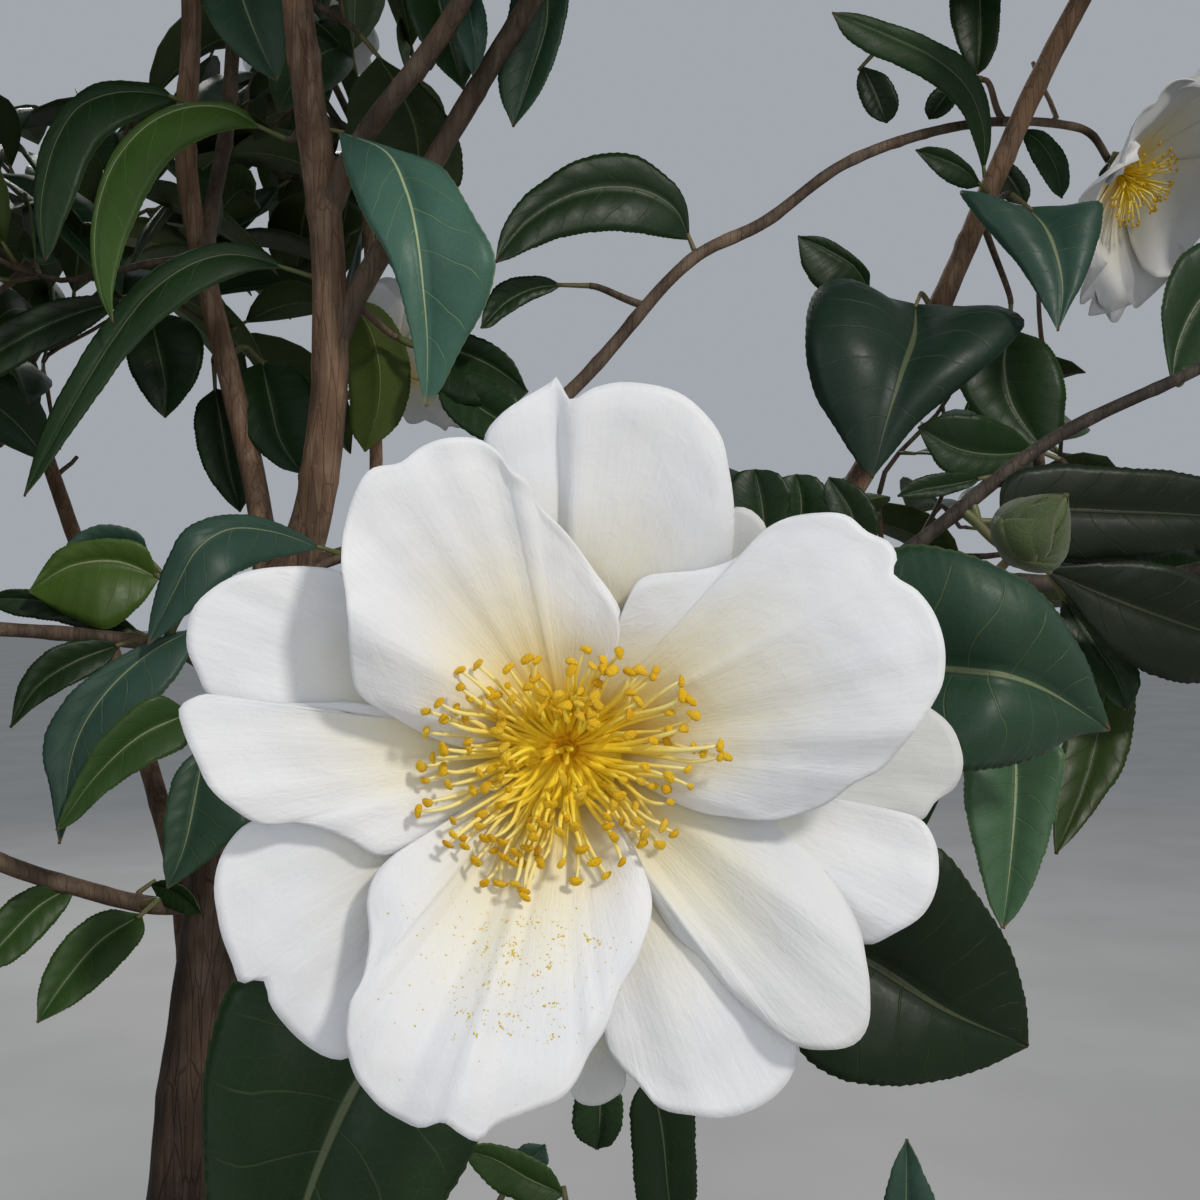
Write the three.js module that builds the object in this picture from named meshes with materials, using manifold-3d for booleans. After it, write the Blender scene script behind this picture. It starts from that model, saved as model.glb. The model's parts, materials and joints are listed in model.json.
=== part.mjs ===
// A white single-flowered camellia shrub in a plain round nursery tub.
// Millimetres, +Z up, -Y is the front. The origin is the centre of the tub's
// flat underside.
import * as THREE from 'three';
import { mergeVertices } from 'three/addons/utils/BufferGeometryUtils.js';
import Module from 'manifold-3d';

const wasm = await Module();
wasm.setup();

// ---------------------------------------------------------------- sizes
const GAP = 0.3;               // clearance between neighbouring solids
const MASS_GAP = 2.0;          // and between two masses of foliage

const TUB_HEIGHT = 285;        // underside to the top of the rolled rim
const TUB_FOOT_RADIUS = 134;   // outside, at the floor
const TUB_MOUTH_RADIUS = 168;  // outside, just under the rim
const TUB_RIM_RADIUS = 177;    // outside of the rolled rim
const TUB_RIM_DEPTH = 17;      // height of the rolled rim
const TUB_WALL = 3.6;
const TUB_FLOOR = 4.5;
const TUB_SIDES = 20;
const SOIL_TOP = 258;          // level of the potting mix

const TRUNK_FOOT_RADIUS = 12.5;   // above the root flare
const TRUNK_TOP_RADIUS = 8.8;     // just under the fork
const ROOT_FLARE = 8.5;           // how far the buttresses stand out
const ROOT_FLARE_HEIGHT = 34;
const ROOT_BUTTRESSES = 5;

const BLOOM_RADIUS = 55;          // the large open bloom at the front
const BLOOM_DEPTH = 34;
const SMALL_BLOOM_RADIUS = 44;
const SMALL_BLOOM_DEPTH = 30;

const MASS_LOBES = 9;             // each mass has bulges and hollows of its own,
const MASS_HOLLOWS = 6;           // between these shares of its half sizes
const MASS_MOST = 1.3;
const MASS_LEAST = 0.62;

const LEAF_COLOUR = 0x3f5a45;
const BARK_COLOUR = 0x6a4a38;
const TWIG_COLOUR = 0x7d5a43;
const PETAL_COLOUR = 0xeeeef2;
const TUB_COLOUR = 0xc9c9c4;
const SOIL_COLOUR = 0x3b2a1f;

// ------------------------------------------------- trunk, stems and boughs
// Each limb starts inside the one it grows from, passes a few points and
// tapers from its first radius to its last. Those with a mass end just
// inside that mass.
const LIMBS = [
  { name: 'trunk', via: [[-3, 1, SOIL_TOP + GAP], [0, 1, 310], [8, 0, 372], [15.6, 0, 430], [24, -1, 500], [33.8, -3, 563], [46.7, -4, 618.4]],
    r: [TRUNK_FOOT_RADIUS, TRUNK_TOP_RADIUS], sides: 10, steps: 11, flare: true, colour: BARK_COLOUR },
  { name: 'main_stem', from: 'trunk', start: [45.8, -4, 614],
    via: [[56.7, -5, 640], [63.5, -5, 680], [63, -5, 735], [56.7, -5, 784], [48, 0, 870], [58, 12, 1000], [70, 15, 1180]],
    r: [6.5, 2.3], sides: 6, steps: 11, mass: 'foliage_crown_top', colour: BARK_COLOUR },
  { name: 'left_stem', from: 'trunk', start: [43, -3, 606],
    via: [[39, 15, 637], [29, 30, 674], [16.7, 30, 724.5], [9, 30, 767], [10.6, 30, 823], [-4, 36, 920], [-32, 34, 1090]],
    r: [4.5, 2.0], sides: 6, steps: 11, mass: 'foliage_top_left', colour: BARK_COLOUR },
  { name: 'left_inner_bough', from: 'left_stem', start: [14.7, 30, 738.4],
    via: [[19.9, 40, 781], [21, 55, 833], [38, 100, 930], [70, 150, 1030]],
    r: [2.8, 1.8], sides: 5, steps: 7, mass: 'foliage_top_rear', colour: TWIG_COLOUR },
  { name: 'upper_front_bough', from: 'main_stem', start: [62.6, -5, 743],
    via: [[75, -8, 764], [106.6, -12, 806], [138, -40, 870], [150, -85, 950]],
    r: [3.6, 2.4], sides: 6, steps: 6, mass: 'foliage_top_front', colour: TWIG_COLOUR },
  { name: 'upper_right_bough', from: 'main_stem', start: [63.5, -5, 700],
    via: [[85.5, 0, 741], [101.8, 2, 770], [127, 8, 814], [170, 25, 890], [228, 48, 1010]],
    r: [3.8, 2.6], sides: 6, steps: 7, mass: 'foliage_top_right', colour: TWIG_COLOUR },
  { name: 'right_bough', from: 'trunk', start: [28, -2, 528],
    via: [[56, -10, 553], [103, -15, 565], [149, -10, 586], [197, 5, 617], [234, 25, 658], [267, 40, 723], [304, 50, 804], [352, 60, 890]],
    r: [5.2, 3.3], sides: 6, steps: 12, mass: 'foliage_right_upper', colour: BARK_COLOUR },
  { name: 'slender_bough', from: 'main_stem', start: [52, -4.5, 629],
    via: [[86.6, -8, 642], [140, -10, 685], [178, 0, 728], [202, 8, 742], [230, 20, 764.5], [278.7, 52, 788], [318.5, 77, 796.5], [335, 88, 796], [342.2, 89.6, 786.5]],
    r: [2.5, 1.5], sides: 5, steps: 10, colour: TWIG_COLOUR },
  { name: 'front_bough', from: 'right_bough', start: [103, -15, 565],
    via: [[127, -60, 572], [139.6, -120, 581], [142.2, -180, 591], [143.3, -223, 596.4]],
    r: [3.3, 2.4], sides: 6, steps: 6, colour: TWIG_COLOUR },
  { name: 'front_right_bough', from: 'front_bough', start: [141.6, -160, 587.6],
    via: [[186, -165, 612], [215, -160, 632], [245, -152, 654], [279, -140, 670], [318, -124, 688]],
    r: [1.9, 1.2], sides: 5, steps: 8, colour: TWIG_COLOUR },
  { name: 'left_inner_low_bough', from: 'trunk', start: [39, -3.5, 586],
    via: [[23, -20, 604], [0.6, -30, 609], [-28, -45, 612]],
    r: [2.7, 2.0], sides: 5, steps: 4, mass: 'foliage_left_inner', colour: TWIG_COLOUR },
  { name: 'front_left_bough', from: 'trunk', start: [27, -2, 524],
    via: [[12.3, -20, 527.4], [-5.4, -30, 534.5], [-25, -40, 544], [-66, -84, 580], [-108, -150, 650]],
    r: [2.8, 2.0], sides: 5, steps: 8, mass: 'foliage_front_left', colour: TWIG_COLOUR },
  { name: 'left_bough', from: 'trunk', start: [8, 0, 372],
    via: [[-32, 8, 398], [-82, 12, 455], [-138, 14, 565], [-205, 10, 700]],
    r: [4.4, 2.8], sides: 6, steps: 7, mass: 'foliage_left', colour: BARK_COLOUR },
  { name: 'left_low_bough', from: 'left_bough', start: [-60, 10.5, 428],
    via: [[-92, -14, 452], [-150, -60, 512]],
    r: [2.6, 2.1], sides: 5, steps: 4, mass: 'foliage_left_low', colour: TWIG_COLOUR },
  { name: 'upper_left_bough', from: 'left_stem', start: [-1, 35, 900],
    via: [[-30, 32, 930], [-70, 26, 950], [-118, 22, 956]],
    r: [2.2, 1.7], sides: 5, steps: 4, mass: 'foliage_upper_left', colour: TWIG_COLOUR },
  { name: 'rear_left_bough', from: 'trunk', start: [20, -0.5, 470],
    via: [[4, 40, 520], [-40, 92, 610], [-112, 165, 745]],
    r: [4.0, 2.6], sides: 6, steps: 6, mass: 'foliage_rear_left', colour: BARK_COLOUR },
  { name: 'rear_bough', from: 'trunk', start: [16, 0, 436],
    via: [[24, 44, 470], [40, 104, 520], [50, 172, 640], [40, 215, 830]],
    r: [3.9, 2.5], sides: 6, steps: 8, mass: 'foliage_rear_upper', colour: BARK_COLOUR },
  { name: 'rear_low_bough', from: 'rear_bough', start: [33, 80, 498],
    via: [[62, 108, 506], [104, 156, 536], [120, 176, 552]],
    r: [2.6, 2.0], sides: 5, steps: 4, mass: 'foliage_rear_low', colour: TWIG_COLOUR },
  { name: 'rear_right_bough', from: 'trunk', start: [13, 0, 412],
    via: [[60, 30, 436], [130, 78, 486], [210, 124, 560], [262, 146, 620]],
    r: [3.8, 2.5], sides: 6, steps: 6, mass: 'foliage_rear_right', colour: BARK_COLOUR },
  { name: 'right_low_bough', from: 'trunk', start: [5, 0.5, 348],
    via: [[46, -4, 366], [110, -8, 384], [196, -6, 392]],
    r: [3.2, 2.2], sides: 6, steps: 5, mass: 'foliage_right_low', colour: TWIG_COLOUR },
  { name: 'right_outer_bough', from: 'right_bough', start: [190, 2.8, 612.3],
    via: [[226, 6, 621], [262, 12, 627], [300, 16, 626], [340, 18, 629], [376, 15, 640]],
    r: [2.8, 2.0], sides: 6, steps: 5, mass: 'foliage_right', colour: TWIG_COLOUR },
  { name: 'front_low_bough', from: 'trunk', start: [6, 0.3, 356],
    via: [[26, -36, 378], [62, -78, 404], [96, -116, 430]],
    r: [2.9, 2.1], sides: 5, steps: 5, mass: 'foliage_front_low', colour: TWIG_COLOUR },
];

// ------------------------------------------------------ masses of foliage
// centre, half sizes along X, Y and Z, seed of the unevenness, faceting
const MASSES = [
  { name: 'foliage_front_left',  c: [-116, -150, 655], h: [100, 92, 120], seed: 11, detail: 2 },
  { name: 'foliage_left_inner',  c: [-34, -58, 604],   h: [56, 46, 60],   seed: 12, detail: 1 },
  { name: 'foliage_left_mid',    c: [-44, 20, 738],    h: [52, 48, 76],   seed: 13, detail: 1 },
  { name: 'foliage_left',        c: [-214, 10, 712],   h: [108, 108, 132], seed: 14, detail: 2 },
  { name: 'foliage_left_low',    c: [-154, -58, 518],  h: [108, 100, 84], seed: 15, detail: 2 },
  { name: 'foliage_upper_left',  c: [-132, 16, 936],   h: [116, 116, 116], seed: 16, detail: 2 },
  { name: 'foliage_rear_left',   c: [-112, 170, 756],  h: [124, 112, 140], seed: 17, detail: 2 },
  { name: 'foliage_rear_low',    c: [116, 188, 548],   h: [120, 92, 92],  seed: 18, detail: 2 },
  { name: 'foliage_rear_upper',  c: [10, 226, 906],    h: [104, 92, 128], seed: 19, detail: 2 },
  { name: 'foliage_rear_right',  c: [300, 168, 664],   h: [94, 98, 116],  seed: 20, detail: 2 },
  { name: 'foliage_right_inner', c: [272, 8, 716],     h: [50, 46, 68],   seed: 21, detail: 1 },
  { name: 'foliage_right',       c: [392, 14, 652],    h: [70, 104, 116], seed: 22, detail: 2 },
  { name: 'foliage_right_upper', c: [356, 52, 896],    h: [96, 104, 112], seed: 23, detail: 2 },
  { name: 'foliage_right_low',   c: [222, -2, 388],    h: [104, 98, 44],  seed: 24, detail: 2 },
  { name: 'foliage_front_right', c: [246, -140, 606],  h: [52, 46, 58],   seed: 25, detail: 1 },
  { name: 'foliage_front_low',   c: [104, -124, 434],  h: [106, 84, 48],  seed: 26, detail: 2 },
  { name: 'foliage_centre',      c: [98, 40, 716],     h: [34, 34, 46],   seed: 27, detail: 1 },
  { name: 'foliage_top_front',   c: [154, -84, 964],   h: [120, 108, 118], seed: 28, detail: 2 },
  { name: 'foliage_top_right',   c: [244, 70, 1064],   h: [104, 104, 122], seed: 29, detail: 2 },
  { name: 'foliage_crown_top',   c: [72, 18, 1222],    h: [108, 106, 112], seed: 30, detail: 2 },
  { name: 'foliage_top_left',    c: [-58, 26, 1112],   h: [104, 106, 106], seed: 31, detail: 2 },
  { name: 'foliage_top_rear',    c: [96, 172, 1056],   h: [112, 96, 122], seed: 32, detail: 2 },
];

// ------------------------------------------------------------ open blooms
// back of the bloom, the way it faces, radius and depth
const BLOOMS = [
  { name: 'bloom_front',       at: [143.6, -224.5, 597], face: [0.02, -1, 0.04], r: BLOOM_RADIUS, depth: BLOOM_DEPTH, sides: 18, rings: 3, lobes: 9 },
  { name: 'bloom_right',       at: [344, 88.5, 783],     face: [0.62, -0.36, -0.7] },
  { name: 'bloom_behind',      at: [70, 92, 706],        face: [0.35, 0.55, 0.75], r: 38 },
  { name: 'bloom_front_left',  at: [-128, -238, 700],    face: [-0.35, -0.9, 0.25] },
  { name: 'bloom_left',        at: [-300, -10, 770],     face: [-0.93, -0.25, 0.26] },
  { name: 'bloom_rear',        at: [-10, 306, 930],      face: [-0.2, 0.93, 0.3] },
  { name: 'bloom_rear_right',  at: [272, 230, 606],      face: [-0.15, 0.95, -0.15] },
  { name: 'bloom_top_front',   at: [196, -176, 1000],    face: [0.35, -0.85, 0.4] },
  { name: 'bloom_right_upper', at: [424, 40, 930],       face: [0.9, -0.3, 0.3] },
  { name: 'bloom_top',         at: [42, -52, 1286],      face: [-0.3, -0.7, 0.65] },
];

// ---------------------------------------------------------------- helpers
function seededRandom(seed) {
  let s = seed >>> 0;
  return () => {
    s = (s + 0x6d2b79f5) >>> 0;
    let t = s;
    t = Math.imul(t ^ (t >>> 15), t | 1);
    t ^= t + Math.imul(t ^ (t >>> 7), t | 61);
    return ((t ^ (t >>> 14)) >>> 0) / 4294967296;
  };
}

// a closed surface as a solid, its faces turned outwards if they aren't
function solidOf(geometry) {
  const bare = geometry.clone();
  bare.deleteAttribute('normal');
  bare.deleteAttribute('uv');
  const merged = mergeVertices(bare, 1e-4);
  const vertProperties = new Float32Array(merged.attributes.position.array);
  const triVerts = new Uint32Array(merged.index.array);
  const solid = new wasm.Manifold(new wasm.Mesh({ numProp: 3, vertProperties, triVerts }));
  if (solid.volume() > 0) return solid;
  for (let i = 0; i < triVerts.length; i += 3) [triVerts[i], triVerts[i + 1]] = [triVerts[i + 1], triVerts[i]];
  return new wasm.Manifold(new wasm.Mesh({ numProp: 3, vertProperties, triVerts }));
}

function geometryOf(solid) {
  const mesh = solid.getMesh();
  const points = new Float32Array((mesh.vertProperties.length / mesh.numProp) * 3);
  for (let i = 0; i < points.length / 3; i += 1) {
    for (let k = 0; k < 3; k += 1) points[3 * i + k] = mesh.vertProperties[mesh.numProp * i + k];
  }
  const geometry = new THREE.BufferGeometry();
  geometry.setAttribute('position', new THREE.BufferAttribute(points, 3));
  geometry.setIndex(new THREE.BufferAttribute(new Uint32Array(mesh.triVerts), 1));
  geometry.computeVertexNormals();
  return geometry;
}

function largestPiece(solid) {
  let best = null;
  for (const piece of solid.decompose()) {
    if (!best || piece.volume() > best.volume()) best = piece;
  }
  return best;
}

function bufferGeometry(points, faces) {
  const geometry = new THREE.BufferGeometry();
  geometry.setAttribute('position', new THREE.BufferAttribute(new Float32Array(points), 3));
  geometry.setIndex(faces);
  return geometry;
}

function boxOf(solid) {
  const b = solid.boundingBox();
  return { min: b.min, max: b.max };
}

function boxesMeet(a, b, margin = 2) {
  return [0, 1, 2].every((k) => a.min[k] - margin < b.max[k] && b.min[k] - margin < a.max[k]);
}

// --------------------------------------------------------- masses' shapes
// The surface of a mass in a given direction: an ellipsoid with a few broad
// lobes and smaller bumps, so that no two are alike.
function massShape(mass) {
  const random = seededRandom(mass.seed * 7919);
  const lobes = [];
  for (let i = 0; i < MASS_LOBES + MASS_HOLLOWS; i += 1) {
    const z = 2 * random() - 1;
    const a = 2 * Math.PI * random();
    const s = Math.sqrt(1 - z * z);
    lobes.push({ dir: new THREE.Vector3(s * Math.cos(a), s * Math.sin(a), z),
      size: (i < MASS_LOBES ? 0.27 : -0.24) * (0.7 + 0.6 * random()), sharp: 7 + 11 * random() });
  }
  const phase = [0, 1, 2].map(() => 6.28 * random());
  return (dir) => {
    let r = 0.95;
    for (const lobe of lobes) {
      const d = Math.max(0, dir.dot(lobe.dir));
      r += lobe.size * d ** lobe.sharp;
    }
    r += 0.06 * Math.sin(6 * dir.x + phase[0]) * Math.sin(7 * dir.y + phase[1]) * Math.cos(6 * dir.z + phase[2]);
    return Math.min(MASS_MOST, Math.max(MASS_LEAST, r));
  };
}

function massSolid(mass, grow) {
  const shape = massShape(mass);
  const ball = new THREE.IcosahedronGeometry(1, mass.detail);
  const position = ball.attributes.position;
  const v = new THREE.Vector3();
  for (let i = 0; i < position.count; i += 1) {
    v.fromBufferAttribute(position, i).normalize();
    const r = shape(v);
    position.setXYZ(i,
      mass.c[0] + v.x * (mass.h[0] * r + grow),
      mass.c[1] + v.y * (mass.h[1] * r + grow),
      mass.c[2] + v.z * (mass.h[2] * r + grow));
  }
  return solidOf(ball);
}

function insideMass(mass, shape, point) {
  const v = new THREE.Vector3(
    (point.x - mass.c[0]) / mass.h[0], (point.y - mass.c[1]) / mass.h[1], (point.z - mass.c[2]) / mass.h[2]);
  const length = v.length();
  return length < 1e-6 || length < shape(v.clone().normalize());
}

// --------------------------------------------------------- limbs' shapes
function limbCurve(limb) {
  const points = [...(limb.start ? [limb.start] : []), ...limb.via].map((p) => new THREE.Vector3(...p));
  const curve = new THREE.CatmullRomCurve3(points, false, 'centripetal');
  let end = 1;
  if (limb.mass) {
    const mass = MASSES.find((m) => m.name === limb.mass);
    const shape = massShape(mass);
    for (let i = 1; i <= 400; i += 1) {
      if (insideMass(mass, shape, curve.getPointAt(i / 400))) {
        end = Math.min(1, i / 400 + 9 / curve.getLength());
        break;
      }
    }
  }
  return { curve, end };
}

function limbRadius(limb, t, angle, grow) {
  const [first, last] = limb.r;
  let r = first + (last - first) * t ** 0.85;
  if (limb.flare) {
    const height = t * (TRUNK_LENGTH);
    const spread = Math.max(0, 1 - height / ROOT_FLARE_HEIGHT) ** 2;
    r += ROOT_FLARE * spread * (0.62 + 0.38 * Math.cos(ROOT_BUTTRESSES * angle + 0.6));
    r += 0.35 * Math.sin(11 * t + 1.3 * Math.cos(angle));
  }
  return r + grow;
}

const TRUNK_LENGTH = limbCurve(LIMBS[0]).curve.getLength();

function limbSolid(limb, grow) {
  const { curve, end } = limbCurve(limb);
  const { sides, steps } = limb;
  const points = [];
  const faces = [];
  const centre = new THREE.Vector3();
  const across = new THREE.Vector3();
  const up = new THREE.Vector3();
  let previous = new THREE.Vector3(1, 0, 0);
  for (let i = 0; i <= steps; i += 1) {
    const t = end * (limb.flare ? (i / steps) ** 1.35 : i / steps);
    centre.copy(curve.getPointAt(t));
    const along = curve.getTangentAt(t).normalize();
    if (i === 0 && limb.flare) along.set(0, 0, 1);
    across.copy(previous).addScaledVector(along, -previous.dot(along)).normalize();
    previous = across.clone();
    up.crossVectors(along, across);
    if (grow > 0 && i === 0 && !limb.flare) centre.addScaledVector(along, -grow);
    if (grow > 0 && i === steps) centre.addScaledVector(along, grow);
    for (let k = 0; k < sides; k += 1) {
      const angle = (2 * Math.PI * k) / sides;
      const r = limbRadius(limb, t, angle, grow);
      points.push(
        centre.x + r * (Math.cos(angle) * across.x + Math.sin(angle) * up.x),
        centre.y + r * (Math.cos(angle) * across.y + Math.sin(angle) * up.y),
        centre.z + r * (Math.cos(angle) * across.z + Math.sin(angle) * up.z));
    }
  }
  for (let i = 0; i < steps; i += 1) {
    for (let k = 0; k < sides; k += 1) {
      const a = i * sides + k;
      const b = i * sides + ((k + 1) % sides);
      faces.push(a, b, b + sides, a, b + sides, a + sides);
    }
  }
  for (let k = 1; k < sides - 1; k += 1) {
    faces.push(0, k + 1, k);
    const top = steps * sides;
    faces.push(top, top + k, top + k + 1);
  }
  return solidOf(bufferGeometry(points, faces));
}

// --------------------------------------------------------- blooms' shapes
// A shallow lobed bowl of some thickness, open towards the way it faces.
function bloomSolid(bloom, grow) {
  const radius = (bloom.r ?? SMALL_BLOOM_RADIUS) + grow;
  const depth = bloom.depth ?? SMALL_BLOOM_DEPTH;
  const sides = bloom.sides ?? 8;
  const rings = bloom.rings ?? 2;
  const lobes = bloom.lobes ?? 4;
  const bare = depth * 0.34;
  const wall = bare + 2 * grow;
  const face = new THREE.Vector3(...bloom.face).normalize();
  const turn = new THREE.Quaternion().setFromUnitVectors(new THREE.Vector3(0, 0, 1), face);
  const points = [];
  const faces = [];
  const put = (x, y, z) => {
    const v = new THREE.Vector3(x, y, z - grow).applyQuaternion(turn);
    points.push(bloom.at[0] + v.x, bloom.at[1] + v.y, bloom.at[2] + v.z);
    return points.length / 3 - 1;
  };
  const profile = (s) => (depth - bare) * s ** 1.5;
  const ring = (s, lift) => {
    const first = points.length / 3;
    for (let k = 0; k < sides; k += 1) {
      const a = (2 * Math.PI * k) / sides;
      const r = radius * s * (1 + 0.07 * s * s * Math.cos(lobes * a));
      put(r * Math.cos(a), r * Math.sin(a), profile(s) + lift * (s < 1 ? 1 : 0.86));
    }
    return first;
  };
  const back = put(0, 0, 0);
  const backRings = [];
  for (let i = 1; i <= rings; i += 1) backRings.push(ring(i / rings, 0));
  const frontRings = [];
  for (let i = rings; i >= 1; i -= 1) frontRings.push(ring(i / rings, wall));
  const front = put(0, 0, wall);
  const chain = [...backRings, ...frontRings];
  for (let k = 0; k < sides; k += 1) {
    const n = (k + 1) % sides;
    faces.push(back, chain[0] + n, chain[0] + k);
    for (let i = 0; i + 1 < chain.length; i += 1) {
      faces.push(chain[i] + k, chain[i] + n, chain[i + 1] + n, chain[i] + k, chain[i + 1] + n, chain[i + 1] + k);
    }
    const last = chain[chain.length - 1];
    faces.push(last + k, last + n, front);
  }
  return solidOf(bufferGeometry(points, faces));
}

// ------------------------------------------------------------ tub and mix
function tubRadius(z) {
  return TUB_FOOT_RADIUS + (TUB_MOUTH_RADIUS - TUB_FOOT_RADIUS) * (z / TUB_HEIGHT) ** 0.92;
}

function tubGeometry() {
  const rimBottom = TUB_HEIGHT - TUB_RIM_DEPTH;
  const outer = [[0, 0], [TUB_FOOT_RADIUS - 5, 0], [TUB_FOOT_RADIUS, 4], [tubRadius(120), 120],
    [tubRadius(rimBottom), rimBottom]];
  const rim = [[TUB_RIM_RADIUS - 1.5, rimBottom], [TUB_RIM_RADIUS, rimBottom + 3], [TUB_RIM_RADIUS, TUB_HEIGHT - 6],
    [TUB_RIM_RADIUS - 4, TUB_HEIGHT], [tubRadius(TUB_HEIGHT) - TUB_WALL + 2, TUB_HEIGHT]];
  const inner = [[tubRadius(120) - TUB_WALL, 120], [TUB_FOOT_RADIUS - TUB_WALL - 1, TUB_FLOOR], [0, TUB_FLOOR]];
  const profile = [...outer, ...rim, ...inner].map(([r, z]) => new THREE.Vector2(r, z));
  const geometry = new THREE.LatheGeometry(profile, TUB_SIDES);
  geometry.rotateX(Math.PI / 2);
  return geometry;
}

function soilGeometry() {
  const clear = TUB_WALL + 0.9;
  const profile = [[0, TUB_FLOOR + GAP], [TUB_FOOT_RADIUS - clear - 1, TUB_FLOOR + GAP], [tubRadius(120) - clear, 120],
    [tubRadius(SOIL_TOP) - clear - 1.2, SOIL_TOP], [0, SOIL_TOP]]
    .map(([r, z]) => new THREE.Vector2(r, z));
  const geometry = new THREE.LatheGeometry(profile, TUB_SIDES);
  geometry.rotateX(Math.PI / 2);
  return geometry;
}

// --------------------------------------------------------------- assembly
const shrub = new THREE.Group();
shrub.name = 'camellia_shrub';

function addMesh(name, geometry, colour, roughness) {
  const mesh = new THREE.Mesh(geometry, new THREE.MeshStandardMaterial({ color: colour, roughness, metalness: 0 }));
  mesh.name = name;
  shrub.add(mesh);
}

addMesh('tub', geometryOf(solidOf(tubGeometry())), TUB_COLOUR, 0.6);
addMesh('potting_mix', geometryOf(solidOf(soilGeometry())), SOIL_COLOUR, 1.0);

// limbs, each cut back from those already made
const taken = [];
for (const limb of LIMBS) {
  let solid = limbSolid(limb, 0);
  const box = boxOf(solid);
  for (const other of taken) if (boxesMeet(box, other.box)) solid = solid.subtract(other.grown);
  solid = largestPiece(solid);
  addMesh(limb.name, geometryOf(solid), limb.colour, 0.85);
  const grown = limbSolid(limb, GAP * 1.6);
  taken.push({ name: limb.name, grown, box: boxOf(grown) });
}

// blooms, cut back from the limbs that carry them
for (const bloom of BLOOMS) {
  let solid = bloomSolid(bloom, 0);
  const box = boxOf(solid);
  for (const other of taken) if (boxesMeet(box, other.box)) solid = solid.subtract(other.grown);
  solid = largestPiece(solid);
  addMesh(bloom.name, geometryOf(solid), PETAL_COLOUR, 0.5);
  const grown = bloomSolid(bloom, GAP * 2.5);
  taken.push({ name: bloom.name, grown, box: boxOf(grown) });
}

// masses, cut back from the masses before them, then round limbs and blooms
const massesMade = [];
for (const mass of MASSES) {
  let solid = massSolid(mass, 0);
  const box = boxOf(solid);
  for (const other of massesMade) if (boxesMeet(box, other.box)) solid = solid.subtract(other.grown);
  solid = solid.simplify(MASS_GAP / 2);
  for (const other of taken) if (boxesMeet(box, other.box)) solid = solid.subtract(other.grown);
  solid = largestPiece(solid.simplify(GAP / 2));
  addMesh(mass.name, geometryOf(solid), LEAF_COLOUR, 0.7);
  const grown = massSolid(mass, MASS_GAP);
  massesMade.push({ grown, box: boxOf(grown) });
}

export default shrub;
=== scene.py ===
import json
import math
import random

import bpy
import numpy as np
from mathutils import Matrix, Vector, noise
from mathutils.bvhtree import BVHTree

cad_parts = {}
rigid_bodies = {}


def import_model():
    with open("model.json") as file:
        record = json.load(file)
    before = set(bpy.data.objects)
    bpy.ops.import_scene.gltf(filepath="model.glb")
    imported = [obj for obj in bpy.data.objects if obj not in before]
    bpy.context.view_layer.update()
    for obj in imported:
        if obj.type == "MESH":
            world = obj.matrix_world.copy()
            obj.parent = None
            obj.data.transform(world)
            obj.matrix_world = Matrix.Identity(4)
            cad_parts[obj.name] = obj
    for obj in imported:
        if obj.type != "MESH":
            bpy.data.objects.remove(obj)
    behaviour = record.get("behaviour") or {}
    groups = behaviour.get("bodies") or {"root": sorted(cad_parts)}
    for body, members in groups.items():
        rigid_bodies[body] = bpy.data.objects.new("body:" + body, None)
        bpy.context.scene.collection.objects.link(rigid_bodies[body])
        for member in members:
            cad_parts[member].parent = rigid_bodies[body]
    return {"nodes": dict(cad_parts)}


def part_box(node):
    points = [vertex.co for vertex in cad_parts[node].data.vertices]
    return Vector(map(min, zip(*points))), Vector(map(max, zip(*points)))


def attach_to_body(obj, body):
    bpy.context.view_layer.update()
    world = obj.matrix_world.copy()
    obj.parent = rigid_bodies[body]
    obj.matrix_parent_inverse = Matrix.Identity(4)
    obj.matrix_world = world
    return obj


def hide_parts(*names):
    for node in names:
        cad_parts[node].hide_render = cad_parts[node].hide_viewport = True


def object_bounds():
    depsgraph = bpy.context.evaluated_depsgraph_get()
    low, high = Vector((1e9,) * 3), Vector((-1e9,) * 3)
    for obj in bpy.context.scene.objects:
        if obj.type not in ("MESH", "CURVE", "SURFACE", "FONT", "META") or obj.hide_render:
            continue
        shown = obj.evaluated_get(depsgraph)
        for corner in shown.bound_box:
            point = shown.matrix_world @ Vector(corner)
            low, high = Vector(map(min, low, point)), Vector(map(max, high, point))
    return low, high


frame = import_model()
cad_lo, cad_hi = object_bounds()
scene = bpy.context.scene

# ------------------------------------------------------------------ camera
EYE = np.array((0.149, -0.46, 0.62))
HALF = math.tan(math.radians(22.5))
cam_data = bpy.data.cameras.new("viewpoint")
cam_data.sensor_width = 36.0
cam_data.lens = 18.0 / HALF
cam_data.clip_start = 0.01
cam_data.clip_end = 200
camera = bpy.data.objects.new("viewpoint", cam_data)
scene.collection.objects.link(camera)
camera.location = EYE
camera.rotation_euler = (math.pi / 2, 0, 0)
scene.camera = camera
scene.view_settings.view_transform = "Standard"
scene.view_settings.look = "None"


def at(x, y, d):
    """The world point seen at x, y of the 1200 x 1200 frame, d metres deep."""
    k = HALF * d / 600
    return np.array((EYE[0] + (x - 600) * k, EYE[1] + d, EYE[2] - (y - 600) * k))


def seen(p):
    """Where points fall in the 1200 x 1200 frame, and how deep."""
    p = np.asarray(p, float)
    d = p[..., 1] - EYE[1]
    k = 600 / (HALF * np.where(np.abs(d) < 1e-6, 1e-6, d))
    return 600 + (p[..., 0] - EYE[0]) * k, 600 - (p[..., 2] - EYE[2]) * k, d


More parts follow.
